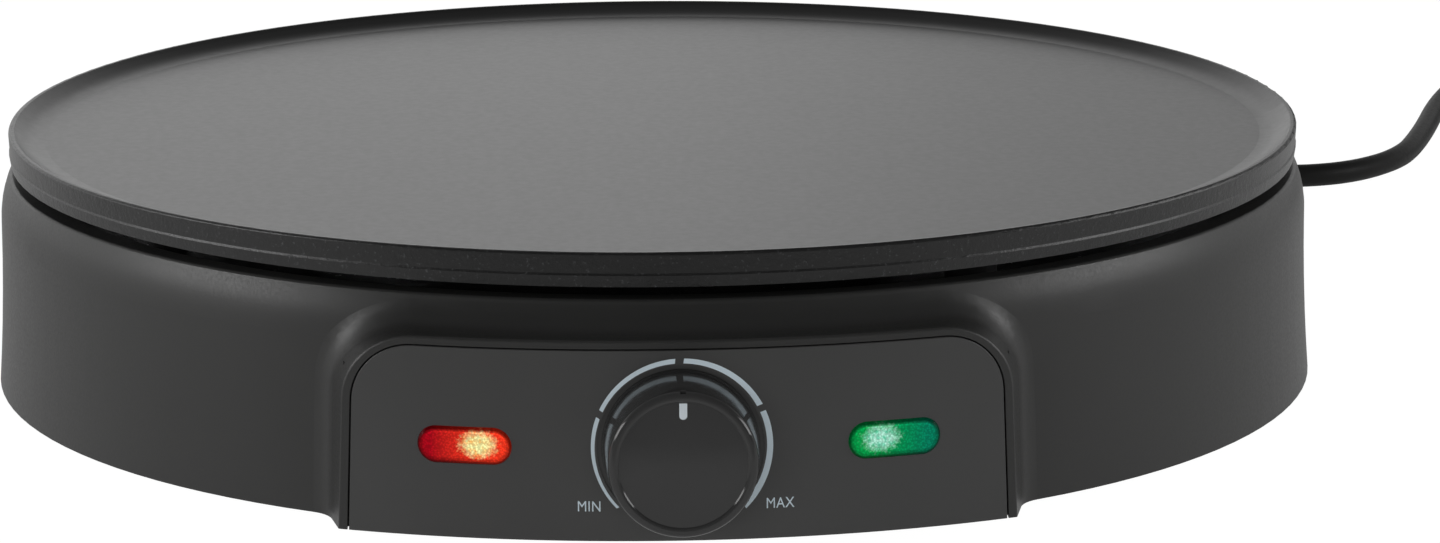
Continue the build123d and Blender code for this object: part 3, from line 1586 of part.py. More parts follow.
with BuildPart() as power_cord_coil:
    with BuildSketch(Plane.XZ):
        with Locations((coil_mean_radius, coil_lift + coil_height / 2)):
            RectangleRounded(coil_width, coil_height, coil_round)
    revolve(axis=Axis.Z)
coil_part = Pos(*coil_axis) * power_cord_coil.part
save(coil_part, "power_cord_coil")

lead_end = (
    coil_centre[0] + coil_turn_radius * cos(radians(lead_join_angle)),
    coil_centre[1] + coil_turn_radius * sin(radians(lead_join_angle)),
    coil_lift + cord_radius,
)
route = [polar(relief_tip, cord_azimuth, cord_exit_height)] + lead_route + [lead_end]
with BuildPart() as power_cord_lead:
    add(tube_along(route, cord_radius)[0])
    add(coil_part, mode=Mode.SUBTRACT)
save(power_cord_lead.part, "power_cord_lead")

with BuildPart() as coil_tie:
    with BuildSketch(Plane.XZ):
        with Locations((coil_mean_radius, coil_lift + coil_height / 2)):
            RectangleRounded(coil_width + 2 * coil_lift, coil_height + 2 * coil_lift, coil_round + coil_lift)
    revolve(axis=Axis.Z, revolution_arc=degrees(tie_width / coil_mean_radius))
    add(power_cord_coil.part, mode=Mode.SUBTRACT)
tie_part = Pos(*coil_axis) * Rot(0, 0, tie_angle) * coil_tie.part
save(tie_part, "coil_tie")

tail_heading = Vector(*polar(1, plug_exit_angle - 90))
tail_start = Vector(coil_centre[0], coil_centre[1], coil_lift + cord_radius + cord_diameter) + Vector(
    *polar(coil_turn_radius, plug_exit_angle)
)
plug_tilt = atan2(plug_head_radius - plug_tail_radius, plug_grip_length + plug_tail_length)
plug_axis = tail_heading * cos(plug_tilt) + Vector(0, 0, sin(plug_tilt))
plug_origin = Vector(tail_start.X, tail_start.Y, plug_tail_radius * cos(plug_tilt)) + plug_gap * tail_heading
plug_plane = Plane(origin=plug_origin, x_dir=tail_heading.cross(Vector(0, 0, 1)), z_dir=plug_axis)
tail_route = [
    tuple(tail_start),
    tuple(tail_start + 10 * tail_heading - Vector(0, 0, 1)),
    tuple(Vector(tail_start.X, tail_start.Y, cord_radius + 0.4) + (plug_gap - 8) * tail_heading),
    tuple(plug_origin + 5 * plug_axis),
]
with BuildPart() as plug_cord_tail:
    add(tube_along(tail_route, cord_radius)[0])
    add(coil_part, mode=Mode.SUBTRACT)
save(plug_cord_tail.part, "plug_cord_tail")

head_foot = plug_tail_length + plug_grip_length
with BuildPart() as plug_body:
    with BuildSketch(plug_plane):
        Circle(plug_tail_radius)
    with BuildSketch(plug_plane.offset(plug_tail_length)):
        Circle(plug_grip_radius * 0.72)
    loft()
    with BuildSketch(plug_plane.offset(plug_tail_length)):
        Circle(plug_grip_radius * 0.86)
    with BuildSketch(plug_plane.offset(plug_tail_length + plug_grip_length * 0.45)):
        Ellipse(plug_grip_radius * 1.3, plug_grip_radius)
    with BuildSketch(plug_plane.offset(head_foot)):
        Circle(plug_head_radius * 0.82)
    loft()
    with BuildSketch(plug_plane.offset(head_foot)):
        Circle(plug_head_radius)
    extrude(amount=plug_head_length)
    rims = plug_body.edges().filter_by(GeomType.CIRCLE).filter_by(
        lambda edge: abs(edge.radius - plug_head_radius) < 0.01
    )
    fillet(rims, plug_edge_round)
    # notches for the earth contacts, top and bottom
    with BuildSketch(plug_plane.offset(head_foot - 1)):
        for side in (-1, 1):
            with Locations((0, side * plug_head_radius)):
                Rectangle(plug_slot_width, 2 * plug_slot_depth)
    extrude(amount=plug_head_length + 2, mode=Mode.SUBTRACT)
    add(plug_cord_tail.part, mode=Mode.SUBTRACT)
save(plug_body.part, "plug_body")

with BuildPart() as plug_pins:
    with BuildSketch(plug_plane.offset(head_foot + plug_head_length)):
        for side in (-1, 1):
            with Locations((side * plug_pin_spacing / 2, 0)):
                Circle(plug_pin_radius)
    extrude(amount=plug_pin_length)
    tips = plug_pins.faces().sort_by(Axis(plug_origin, plug_axis))[-2:]
    fillet(tips.edges(), plug_pin_radius * 0.6)
save(plug_pins.part, "plug_pins")

with BuildPart() as plug_earth_contacts:
    with BuildSketch(plug_plane.offset(head_foot + 2)):
        for side in (-1, 1):
            inner_face_y = plug_head_radius - plug_slot_depth + plug_strip_thickness / 2
            with Locations((0, side * inner_face_y)):
                Rectangle(plug_slot_width * 0.5, plug_strip_thickness)
    extrude(amount=plug_head_length - 3)
save(plug_earth_contacts.part, "plug_earth_contacts")
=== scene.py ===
import math

import bmesh
import bpy
from mathutils import Matrix, Vector


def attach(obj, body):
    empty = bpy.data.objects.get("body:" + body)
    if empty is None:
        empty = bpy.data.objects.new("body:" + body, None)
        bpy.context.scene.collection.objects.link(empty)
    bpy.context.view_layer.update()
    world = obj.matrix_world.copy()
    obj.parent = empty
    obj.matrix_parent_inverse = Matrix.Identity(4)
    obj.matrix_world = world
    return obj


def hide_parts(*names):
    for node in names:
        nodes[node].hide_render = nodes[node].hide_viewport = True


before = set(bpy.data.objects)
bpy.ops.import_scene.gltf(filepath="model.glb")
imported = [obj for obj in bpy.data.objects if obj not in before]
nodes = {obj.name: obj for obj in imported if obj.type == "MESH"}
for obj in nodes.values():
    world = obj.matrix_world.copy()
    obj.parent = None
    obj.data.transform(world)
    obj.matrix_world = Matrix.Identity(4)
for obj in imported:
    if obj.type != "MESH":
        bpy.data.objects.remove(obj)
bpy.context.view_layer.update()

MM = 0.001
AXIS_Y = 0.0088  # the drum's axis stands this far behind the origin

# Camera, with its angles in degrees
CAMERA_TURN = -2.607
CAMERA_RISE = 13.057
CAMERA_ROLL = -0.27616
CAMERA_TARGET = (0.016533, AXIS_Y - 0.0000597, 0.023999)
CAMERA_DISTANCE = 1.260076
CAMERA_SENSOR = 36.0
CAMERA_LENS = 124.835

# Baking plate: the smooth floor ends at the first reach, and the rim is sandy from the second
RIM_START = 0.1575
RIM_FULL = 0.1592

# Control panel: plan radius of its curved front and where the centre of that curve lies
PANEL_RADIUS = 0.2066
PANEL_CENTRE_Y = 0.0358 + AXIS_Y

# Dial: its middle and the reach of its scale's outer edge
DIAL_MIDDLE_X = 0.0003
DIAL_HEIGHT = 0.0243
DIAL_REACH = 0.0200
DIAL_STEP = 3  # degrees of an arc for each of its faces

# Lettering and scale: they start a little in front of the panel and are pressed onto it
PRINT_START = 0.002
PRINT_PROUD = 0.00004
PRINT_MERGE = 0.000002
CAPITAL_SHARE = 0.7  # a capital's height as a share of the type size
LETTER_SPACE = 1.06
LETTER_WIDTH = 0.84

# Lamp windows: each one's distance from the middle, its height, half its own height, and how
# far its straight edges run each side of its middle
LENS_REACH = 0.0474
LENS_HEIGHT = 0.0241
LENS_HALF = 0.0042
LENS_RUN = 0.0063

# Their light: where the lamp shines through, off the window's middle, and how its spot fades
HOT_SHIFT = 0.0031
HOT_RISE = 0.0004
HOT_FLATNESS = 1.35
HOT_EDGE = 0.0048
HOT_FULL = 0.0021
HOT_RAGGED = 0.0011

# Their edge, as distances in from it: a dark border where the glow dims, and a seam that carries
# painted light, a painted highlight at the top and painted shade lower down
BORDER_START = 0.0013
BORDER_FULL = 0.0005
SEAM_INSET = 0.0012
SEAM_FADE = 0.0003

# Cord: its radius, and the put-away coil's middle, reach, turns and heights
CORD_RADIUS = 0.0033
COIL_MIDDLE = (0.329, 0.349 + AXIS_Y)
COIL_REACH = 0.0430
COIL_INNER = 0.0068  # how much closer its inner turns lie
COIL_START = 140  # degrees
COIL_TURNS = 3.35
COIL_POINTS = 16  # for each turn
COIL_LOW = 0.0043
COIL_LAYER = 0.0066

# Stage: the table is white to the camera, a little over 1 so that the shadow alone tints it.
# In reflections it is darker, and darkest within a reach of a point in front of the object.
FLOOR_SIZE = 16
WHITE_LEVEL = 1.1
GLOW_SHARE = 0.9
DARK_MIDDLE = (0.0, -1.15, 0.0)
DARK_REACH = 0.865
DARK_FADE = 0.02
DARK_LEVEL = 0.22
TABLE_LEVEL = 0.54

LAMP_AIM = (0, 0, 0.03)

RAMP_SOCKETS = ("From Min", "From Max", "To Min", "To Max")


# ---------------------------------------------------------------------------
# Camera
# ---------------------------------------------------------------------------


def set_camera():
    """A long lens a little over a metre away, slightly above the plate and to its left."""
    azimuth = math.radians(CAMERA_TURN)
    elevation = math.radians(CAMERA_RISE)
    roll = math.radians(CAMERA_ROLL)
    back = Vector(
        (
            math.sin(azimuth) * math.cos(elevation),
            -math.cos(azimuth) * math.cos(elevation),
            math.sin(elevation),
        )
    )
    right = Vector((math.cos(azimuth), math.sin(azimuth), 0))
    up = back.cross(right)
    turned_right = right * math.cos(roll) + up * math.sin(roll)
    turned_up = up * math.cos(roll) - right * math.sin(roll)
    camera = bpy.data.cameras.new("camera")
    camera.sensor_fit = "HORIZONTAL"
    camera.sensor_width = CAMERA_SENSOR
    camera.lens = CAMERA_LENS
    camera.clip_start = 0.05
    camera.clip_end = 60
    holder = bpy.data.objects.new("camera", camera)
    bpy.context.scene.collection.objects.link(holder)
    place = Vector(CAMERA_TARGET) + back * CAMERA_DISTANCE
    turn = Matrix((turned_right, turned_up, back)).transposed().to_4x4()
    holder.matrix_world = Matrix.Translation(place) @ turn
    bpy.context.scene.camera = holder


set_camera()


# ---------------------------------------------------------------------------
# Finishes
# ---------------------------------------------------------------------------


class Finish:
    """A material's node tree with its principled shader, built one texture at a time."""

    def __init__(self, name, colour, roughness, **sockets):
        self.material = bpy.data.materials.new(name)
        self.material.use_nodes = True
        self.tree = self.material.node_tree
        self.shader = self.tree.nodes["Principled BSDF"]
        self.shader.inputs["Base Color"].default_value = (*colour, 1)
        self.shader.inputs["Roughness"].default_value = roughness
        for socket, value in sockets.items():
            self.shader.inputs[socket.replace("_", " ")].default_value = value
        self.place = self.add("ShaderNodeTexCoord").outputs["Object"]

    def add(self, kind, **settings):
        node = self.tree.nodes.new(kind)
        for name, value in settings.items():
            setattr(node, name, value)
        return node

    def link(self, output, socket):
        self.tree.links.new(output, socket)

    def noise(self, scale, detail=2.0, rough=0.5):
        grain = self.add("ShaderNodeTexNoise")
        grain.inputs["Scale"].default_value = scale
        grain.inputs["Detail"].default_value = detail
        grain.inputs["Roughness"].default_value = rough
        self.link(self.place, grain.inputs["Vector"])
        return grain.outputs["Fac"]

    def cells(self, scale):
        """Distance from the middle of each of many small cells."""
        pebble = self.add("ShaderNodeTexVoronoi", feature="F1")
        pebble.inputs["Scale"].default_value = scale
        self.link(self.place, pebble.inputs["Vector"])
        return pebble.outputs["Distance"]

    def span(self, value, low, high, to_low=0.0, to_high=1.0):
        """A value from low to high, mapped onto to_low to to_high and held beyond them."""
        ramp = self.add("ShaderNodeMapRange")
        for socket, number in zip(RAMP_SOCKETS, (low, high, to_low, to_high)):
            ramp.inputs[socket].default_value = number
        self.link(value, ramp.inputs["Value"])
        return ramp.outputs["Result"]

    def math(self, operation, first, second=0.0):
        node = self.add("ShaderNodeMath", operation=operation)
        for socket, value in zip(node.inputs, (first, second)):
            if isinstance(value, (int, float)):
                socket.default_value = value
            else:
                self.link(value, socket)
        return node.outputs["Value"]

    def blend(self, factor, first, second):
        mix = self.add("ShaderNodeMix", data_type="RGBA")
        self.link(factor, mix.inputs["Factor"])
        for name, value in (("A", first), ("B", second)):
            socket = [s for s in mix.inputs if s.name == name and s.type == "RGBA"][0]
            if isinstance(value, tuple):
                socket.default_value = (*value, 1)
            else:
                self.link(value, socket)
        return [s for s in mix.outputs if s.type == "RGBA"][0]

    def axis(self, letter):
        split = self.add("ShaderNodeSeparateXYZ")
        self.link(self.place, split.inputs["Vector"])
        return split.outputs[letter]

    def radius(self, middle, scale=(1.0, 1.0, 0.0)):
        """Distance from a point, with each axis weighted, such as 0 to leave one out."""
        mapping = self.add("ShaderNodeMapping")
        mapping.inputs["Location"].default_value = [-m * s for m, s in zip(middle, scale)]
        mapping.inputs["Scale"].default_value = scale
        self.link(self.place, mapping.inputs["Vector"])
        length = self.add("ShaderNodeVectorMath", operation="LENGTH")
        self.link(mapping.outputs["Vector"], length.inputs[0])
        return length.outputs["Value"]

    def colour(self, value):
        self.link(value, self.shader.inputs["Base Color"])

    def roughness(self, value):
        self.link(value, self.shader.inputs["Roughness"])

    def bump(self, height, depth, strength=1.0):
        """Raise the surface by a height field from 0 to 1, depth in metres."""
        node = self.add("ShaderNodeBump")
        node.inputs["Strength"].default_value = strength
        node.inputs["Distance"].default_value = depth
        self.link(height, node.inputs["Height"])
        last = self.shader.inputs["Normal"]
        if last.is_linked:
            self.link(last.links[0].from_socket, node.inputs["Normal"])
        self.link(node.outputs["Normal"], last)
        return self


def moulded(name, colour, roughness, grain=1500.0, depth=0.00002, **sockets):
    """Injection moulded plastic: fine spark texture and a slow change of gloss and tone."""
    finish = Finish(name, colour, roughness, **sockets)
    cloud = finish.noise(14.0, 3.0)
    darker = tuple(c * 0.9 for c in colour)
    lighter = tuple(c * 1.1 for c in colour)
    finish.colour(finish.blend(finish.span(cloud, 0.3, 0.7), darker, lighter))
    fine = finish.noise(grain, 2.0, 0.6)
    finish.roughness(finish.span(fine, 0.3, 0.7, roughness - 0.05, roughness + 0.05))
    return finish.bump(fine, depth)


def metal(name, colour, roughness, grain=900.0):
    """Bare or plated metal with faint drawing marks."""
    finish = Finish(name, colour, roughness, Metallic=1.0)
    marks = finish.noise(grain, 3.0, 0.6)
    finish.roughness(finish.span(marks, 0.25, 0.75, roughness * 0.75, roughness * 1.3))
    tint = tuple(c * 0.85 for c in colour)
    finish.colour(finish.blend(finish.span(finish.noise(60.0, 3.0), 0.3, 0.7), tint, colour))
    return finish.bump(marks, 0.00001)


def plate_coating():
    """Dark non-stick coating, smooth on the baking floor, sandy over the cast rim."""
    finish = Finish("plate_coating", (0.014, 0.014, 0.014), 0.3)
    reach = finish.radius((0.0, AXIS_Y, 0.0))
    on_rim = finish.span(reach, RIM_START, RIM_FULL)
    sand = finish.noise(1100.0, 4.0, 0.65)
    lumps = finish.noise(420.0, 3.0, 0.6)
    cast = finish.math("MULTIPLY", on_rim, finish.math("ADD", sand, lumps))
    orange_peel = finish.noise(700.0, 2.0)
    cloud = finish.span(finish.noise(9.0, 3.0), 0.3, 0.7)
    tone = finish.blend(cloud, (0.012, 0.012, 0.012), (0.016, 0.016, 0.016))
    specks = finish.math("MULTIPLY", on_rim, finish.span(sand, 0.60, 0.72))
    finish.colour(finish.blend(specks, tone, (0.065, 0.067, 0.069)))
    finish.roughness(finish.span(finish.noise(500.0, 2.0), 0.3, 0.7, 0.285, 0.315))
    finish.bump(orange_peel, 0.000005)
    finish.bump(cast, 0.00012)
    return finish


def lens_glow(finish, middle_x, side, lit, unlit, warm, hot):
    """The window's colour: lit towards the lamp, dull at the far end, hot over the lamp."""
    far_end = finish.span(
        finish.axis("X"), middle_x + side * 0.0035, middle_x - side * 0.0075
    )
    body = finish.blend(far_end, lit, unlit)
    spot = finish.radius(
        (middle_x + side * HOT_SHIFT, 0.0, LENS_HEIGHT + HOT_RISE), (1.0, 0.0, HOT_FLATNESS)
    )
    wobble = finish.span(finish.noise(1300.0, 3.0, 0.6), 0.25, 0.75, -HOT_RAGGED, HOT_RAGGED)
    near = finish.span(finish.math("ADD", spot, wobble), HOT_EDGE, HOT_FULL)
    core = finish.blend(finish.span(finish.noise(1100.0, 2.0), 0.40, 0.74), hot, warm)
    return finish.blend(near, body, core)


def lens_level(finish, middle_x, pebble):
    """How brightly each part glows: dim at the border, with a painted highlight along the seam at
    the top and painted shade along it lower down, uneven over the pebbles.
    """
    beside = finish.math("ABSOLUTE", finish.math("SUBTRACT", finish.axis("X"), middle_x))
    ends = finish.math("MAXIMUM", finish.math("SUBTRACT", beside, LENS_RUN), 0.0)
    rise = finish.math("SUBTRACT", finish.axis("Z"), LENS_HEIGHT)
    squares = finish.math(
        "ADD", finish.math("MULTIPLY", ends, ends), finish.math("MULTIPLY", rise, rise)
    )
    reach = finish.math("SQRT", squares)
    border = finish.span(reach, LENS_HALF - BORDER_START, LENS_HALF - BORDER_FULL, 1.0, 0.16)
    off_seam = finish.math("ABSOLUTE", finish.math("SUBTRACT", reach, LENS_HALF - SEAM_INSET))
    on_seam = finish.span(off_seam, 0.0, SEAM_FADE, 1.0, 0.0)
    # painted light on the seam: a painted highlight near the top of the window, painted shade below
    # it
    seam_painted_light = finish.span(rise, 0.0005, 0.0025, -0.3, 0.45)
    seam = finish.math("ADD", finish.math("MULTIPLY", on_seam, seam_painted_light), 1.0)
    grain = finish.span(pebble, 0.05, 0.65, 1.3, 0.7)
    return finish.math("MULTIPLY", finish.math("MULTIPLY", border, seam), grain)


def lens_finish(name, lit, unlit, warm, hot, side):
    """A lit, translucent window, pebbled inside. Its light is drawn into the material."""
    finish = Finish(name, tuple(c * 0.05 for c in unlit), 0.14, Specular_IOR_Level=0.06)
    middle_x = -side * LENS_REACH
    pebble = finish.cells(2100.0)
    glow = lens_glow(finish, middle_x, side, lit, unlit, warm, hot)
    level = lens_level(finish, middle_x, pebble)
    finish.link(glow, finish.shader.inputs["Emission Color"])
    finish.link(level, finish.shader.inputs["Emission Strength"])
    return finish.bump(pebble, 0.00004, 0.5)


HOUSING = moulded("housing_black", (0.0255, 0.0255, 0.0248), 0.4, depth=0.000012)
PANEL = moulded("panel_black", (0.05, 0.05, 0.0495), 0.34, depth=0.000010)
COVER = moulded("cover_black", (0.014, 0.014, 0.014), 0.5, grain=1000.0)
KNOB = moulded("knob_gloss", (0.034, 0.034, 0.034), 0.11, 500.0, 0.0000015, Specular_IOR_Level=0.45)
POINTER = moulded("pointer_inlay", (0.6, 0.66, 0.7), 0.35)
PLATE = plate_coating()
RUBBER = moulded("foot_rubber", (0.03, 0.03, 0.03), 0.7, grain=700.0, depth=0.00004)
CORD = moulded("cord_jacket", (0.016, 0.016, 0.0155), 0.5, 900.0, 0.00001, Specular_IOR_Level=0.15)
BUSH = moulded("bush_rubber", (0.014, 0.014, 0.014), 0.5, grain=900.0)
PLUG = moulded("plug_moulding", (0.016, 0.016, 0.016), 0.42, grain=900.0)
TIE = moulded("tie_strap", (0.02, 0.02, 0.02), 0.55, grain=900.0, depth=0.00003)
WHITE = moulded("white_moulding", (0.72, 0.71, 0.67), 0.4)
CERAMIC = moulded("ceramic_body", (0.72, 0.7, 0.64), 0.55, grain=400.0, depth=0.00004)
STEEL = metal("zinc_steel", (0.55, 0.56, 0.57), 0.32)
SHEATH = metal("element_sheath", (0.2, 0.19, 0.185), 0.42, grain=600.0)
SHEET = metal("bright_sheet", (0.8, 0.8, 0.81), 0.22, grain=300.0)
COPPER = metal("copper_tube", (0.75, 0.42, 0.26), 0.3)
BRASS = metal("brass_parts", (0.75, 0.55, 0.26), 0.28)
NICKEL = metal("nickel_pins", (0.72, 0.7, 0.66), 0.18)
GLASS = Finish("lamp_glass", (0.9, 0.7, 0.55), 0.08, Transmission_Weight=0.8, IOR=1.5)
GLASS.bump(GLASS.noise(200.0, 2.0), 0.00001)
BROWN = moulded("wire_brown", (0.12, 0.045, 0.02), 0.45)
BLUE = moulded("wire_blue", (0.02, 0.08, 0.35), 0.45)
GREEN = moulded("wire_green", (0.2, 0.4, 0.03), 0.45)
GREY = moulded("wire_grey", (0.3, 0.3, 0.3), 0.45)
RED_LENS = lens_finish(
    "red_window",
    lit=(0.95, 0.042, 0.014),
    unlit=(0.36, 0.001, 0.008),
    warm=(1.0, 0.50, 0.12),
    hot=(1.0, 0.98, 0.44),
    side=1,
)
GREEN_LENS = lens_finish(
    "green_window",
    lit=(0.0, 0.34, 0.065),
    unlit=(0.0, 0.19, 0.10),
    warm=(0.09, 0.60, 0.36),
    hot=(0.46, 0.84, 0.68),
    side=-1,
)
PRINT = moulded("dial_print", (0.60, 0.70, 0.76), 0.4, depth=0.000004)

# The spacers wear the black cover finish as painted shade, so that the gap under the plate's rim
# stays dark where they can be seen through it.
WEAR = {
    "housing": HOUSING, "base_cover": COVER, "control_panel": PANEL, "baking_plate": PLATE,
    "control_knob": KNOB, "knob_pointer": POINTER, "power_lens": RED_LENS,
    "ready_lens": GREEN_LENS, "rubber_feet": RUBBER, "cord_bush": BUSH, "inner_cord": CORD,
    "power_cord_lead": CORD, "power_cord_coil": CORD, "plug_cord_tail": CORD, "coil_tie": TIE,
    "plug_body": PLUG, "plug_pins": NICKEL, "plug_earth_contacts": STEEL,
    "thermostat_body": CERAMIC, "element_insulators": CERAMIC, "plate_spacers": COVER,
    "lamp_holders": WHITE, "terminal_block": WHITE, "cord_clamp": WHITE,
    "power_lamp": GLASS, "ready_lamp": GLASS, "heating_element": SHEATH,
    "reflector_pan": SHEET, "thermal_fuse": SHEET, "sensing_bulb": COPPER,
    "capillary_tube": COPPER, "thermostat_bush": BRASS, "thermostat_tabs": BRASS,
    "earth_tag": BRASS, "terminal_screws": BRASS, "live_wire": BROWN, "switched_wires": BROWN,
    "neutral_wire": BLUE, "lamp_wires": BLUE, "earth_wire": GREEN, "supply_wires": GREY,
}


def dress(piece, finish):
    """Give a piece one finish all over."""
    piece.data.materials.clear()
    piece.data.materials.append(finish.material)


for name, node in nodes.items():
    dress(node, WEAR.get(name, STEEL))


# ---------------------------------------------------------------------------
# Print on the panel
# ---------------------------------------------------------------------------


def clear_selection():
    if bpy.context.object and bpy.context.object.mode != "OBJECT":
        bpy.ops.object.mode_set(mode="OBJECT")
    bpy.ops.object.select_all(action="DESELECT")


def panel_front(x):
    """Y of the panel's curved face at x."""
    return PANEL_CENTRE_Y - math.sqrt(PANEL_RADIUS**2 - x**2)


def pick_vertices(piece, wanted):
    """Select the vertices whose place passes a test, in edit mode."""
    mesh = bmesh.from_edit_mesh(piece.data)
    for vertex in mesh.verts:
        vertex.select = wanted(vertex.co)
    mesh.select_flush_mode()
    bmesh.update_edit_mesh(piece.data)


def ink(piece):
    """Press a flat print against the panel and give it a film's thickness."""
    clear_selection()
    piece.select_set(True)
    bpy.context.view_layer.objects.active = piece
    bpy.ops.object.mode_set(mode="EDIT")
    bpy.ops.mesh.select_all(action="SELECT")
    bpy.ops.mesh.remove_doubles(threshold=PRINT_MERGE)
    if bmesh.from_edit_mesh(piece.data).faces[:][0].normal.y > 0:
        bpy.ops.mesh.flip_normals()
    bpy.ops.object.mode_set(mode="OBJECT")
    wrap = piece.modifiers.new("on_panel", "SHRINKWRAP")
    wrap.target = nodes["control_panel"]
    wrap.wrap_method = "PROJECT"
    wrap.use_project_y = True
    wrap.use_negative_direction = True
    wrap.offset = PRINT_PROUD
    film = piece.modifiers.new("film", "SOLIDIFY")
    film.thickness = 2 * PRINT_PROUD
    film.offset = -1
    for modifier in (wrap.name, film.name):
        bpy.ops.object.modifier_apply(modifier=modifier)
    dress(piece, PRINT)
    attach(piece, "base")


def dial_scale(name, start, end, thin, thick):
    """One arc of the dial's scale, from start to end in degrees clockwise from the top,
    growing from a thin end to a thick one."""
    middle = Vector((DIAL_MIDDLE_X, panel_front(0) - PRINT_START, DIAL_HEIGHT))
    width = (thin + thick) / 2

    def outward(angle):
        turn = math.radians(angle)
        return Vector((math.sin(turn), 0, math.cos(turn)))

    def clockwise(angle):
        turn = math.radians(angle)
        return Vector((math.cos(turn), 0, -math.sin(turn)))

    # a short stroke at the arc's start, swept round the dial's middle
    clear_selection()
    bpy.ops.mesh.primitive_plane_add(
        size=width,
        location=middle + (DIAL_REACH - width / 2) * outward(start),
        rotation=(math.pi / 2, math.radians(start), 0),
    )
    arc = bpy.context.object
    arc.name = name
    bpy.ops.object.transform_apply(location=True, rotation=True, scale=True)
    bpy.ops.object.mode_set(mode="EDIT")
    bpy.ops.mesh.select_all(action="DESELECT")
    pick_vertices(arc, lambda place: (place - middle).dot(clockwise(start)) < 0)
    bpy.ops.mesh.delete(type="VERT")
    bpy.ops.mesh.select_all(action="SELECT")
    bpy.ops.transform.translate(value=-clockwise(start) * width / 2)
    bpy.ops.mesh.spin(
        steps=max(6, round((end - start) / DIAL_STEP)),
        angle=math.radians(start - end),
        center=middle,
        axis=(0, 1, 0),
    )
    # its inner edge slid along, so that it widens towards its end
    bpy.ops.mesh.select_all(action="DESELECT")
    pick_vertices(arc, lambda place: (place - middle).length < DIAL_REACH - width / 2)
    slide = (thick - thin) / 2 / math.sin(math.radians((end - start) / 2))
    bpy.ops.transform.translate(value=-clockwise((start + end) / 2) * slide)
    bpy.ops.object.mode_set(mode="OBJECT")
    ink(arc)


def dial_word(name, word, middle_x, middle_z, height):
    """MIN or MAX in the panel's plane, printed below the dial."""
    clear_selection()
    bpy.ops.object.text_add()
    text = bpy.context.object
    text.name = name
    text.data.body = word
    text.data.align_x = "CENTER"
    text.data.align_y = "CENTER"
    text.data.size = height / CAPITAL_SHARE
    text.data.space_character = LETTER_SPACE
    text.rotation_euler = (math.pi / 2, 0, math.asin(middle_x / PANEL_RADIUS))
    text.scale = (LETTER_WIDTH, 1, 1)
    text.location = (middle_x, panel_front(middle_x) - PRINT_START, middle_z)
    text.select_set(True)
    bpy.ops.object.convert(target="MESH")
    word_mesh = bpy.context.object
    bpy.ops.object.transform_apply(location=True, rotation=True, scale=True)
    ink(word_mesh)


def print_dial():
    """The scale's four arcs, with a gap at the top and one each side, and its two words."""
    dial_scale("dial_scale_low", -133.6, -69.8, 0.0006, 0.0009)
    dial_scale("dial_scale_low_mid", -64.8, -4.0, 0.0009, 0.0011)
    dial_scale("dial_scale_high_mid", 1.6, 62.3, 0.0011, 0.0013)
    dial_scale("dial_scale_high", 66.8, 135.4, 0.0013, 0.0014)
    dial_word("dial_word_min", "MIN", -0.0202, 0.0108, 0.0024)
    dial_word("dial_word_max", "MAX", 0.0218, 0.0109, 0.0024)


print_dial()


# ---------------------------------------------------------------------------
# Mains cord: from its bush to a small tied coil behind the right side, then the plug
# ---------------------------------------------------------------------------


def ease(value, low, high):
    """0 before low, 1 after high and smooth between."""
    t = min(1.0, max(0.0, (value - low) / (high - low)))
    return t * t * (3 - 2 * t)


def round_coil(reach, angle, height):
    """A point at a reach and an angle from the coil's middle."""
    x, y = COIL_MIDDLE
    return Vector((x + reach * math.cos(angle), y + reach * math.sin(angle), height))


def cord_route():
    """Control points of the cord's line: the lead, three and a third turns, the tail."""
    lead = [
        (96.07, 166.39, 17.0), (105.6, 182.9, 17.0), (130.0, 206.5, 4.6), (172.0, 204.5, 3.3),
        (205.0, 200.5, 3.3), (229.5, 222.0, 3.3), (243.0, 258.0, 3.3), (258.0, 310.0, 3.3),
        (275.0, 350.0, 3.6),
    ]
    points = [Vector((x * MM, y * MM + AXIS_Y, z * MM)) for x, y, z in lead]
    # a spline of this order runs inside its control points, by this share on a circle
    shrink = 0.75 + 0.25 * math.cos(2 * math.pi / COIL_POINTS)
    total = round(COIL_POINTS * COIL_TURNS)
    for step in range(total + 1):
        turn = COIL_TURNS * step / total
        angle = math.radians(COIL_START - 360 * turn)
        inward = ease(turn, 0.75, 0.98) - ease(turn, 2.40, 2.70)
        height = COIL_LOW + COIL_LAYER * ease(turn, 1.55, 1.75)
        points.append(round_coil((COIL_REACH - COIL_INNER * inward) / shrink, angle, height))
    # the tail leaves the coil's end straight on, down towards the plug
    end_angle = math.radians(COIL_START - 360 * COIL_TURNS)
    heading = Vector((math.sin(end_angle), -math.cos(end_angle), 0))
    for ahead, height in ((0.010, 0.0099), (0.026, 0.0037), (0.0387, 0.0061)):
        points.append(round_coil(COIL_REACH, end_angle, height) + heading * ahead)
    return points


def lay_cord():
    """The cord as one open spline along its route, in place of its three solids."""
    points = cord_route()
    line = bpy.data.curves.new("mains_cord", "CURVE")
    line.dimensions = "3D"
    line.bevel_depth = CORD_RADIUS
    line.bevel_resolution = 6
    line.use_fill_caps = True
    line.resolution_u = 8
    spline = line.splines.new("NURBS")
    spline.points.add(len(points) - 1)
    for point, place in zip(spline.points, points):
        point.co = (*place, 1)
    spline.order_u = 3
    spline.use_endpoint_u = True
    cord = bpy.data.objects.new("mains_cord", line)
    bpy.context.scene.collection.objects.link(cord)
    dress(cord, CORD)
    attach(cord, "base")
    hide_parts("power_cord_lead", "power_cord_coil", "plug_cord_tail")


lay_cord()


# ---------------------------------------------------------------------------
# Stage and light
# ---------------------------------------------------------------------------


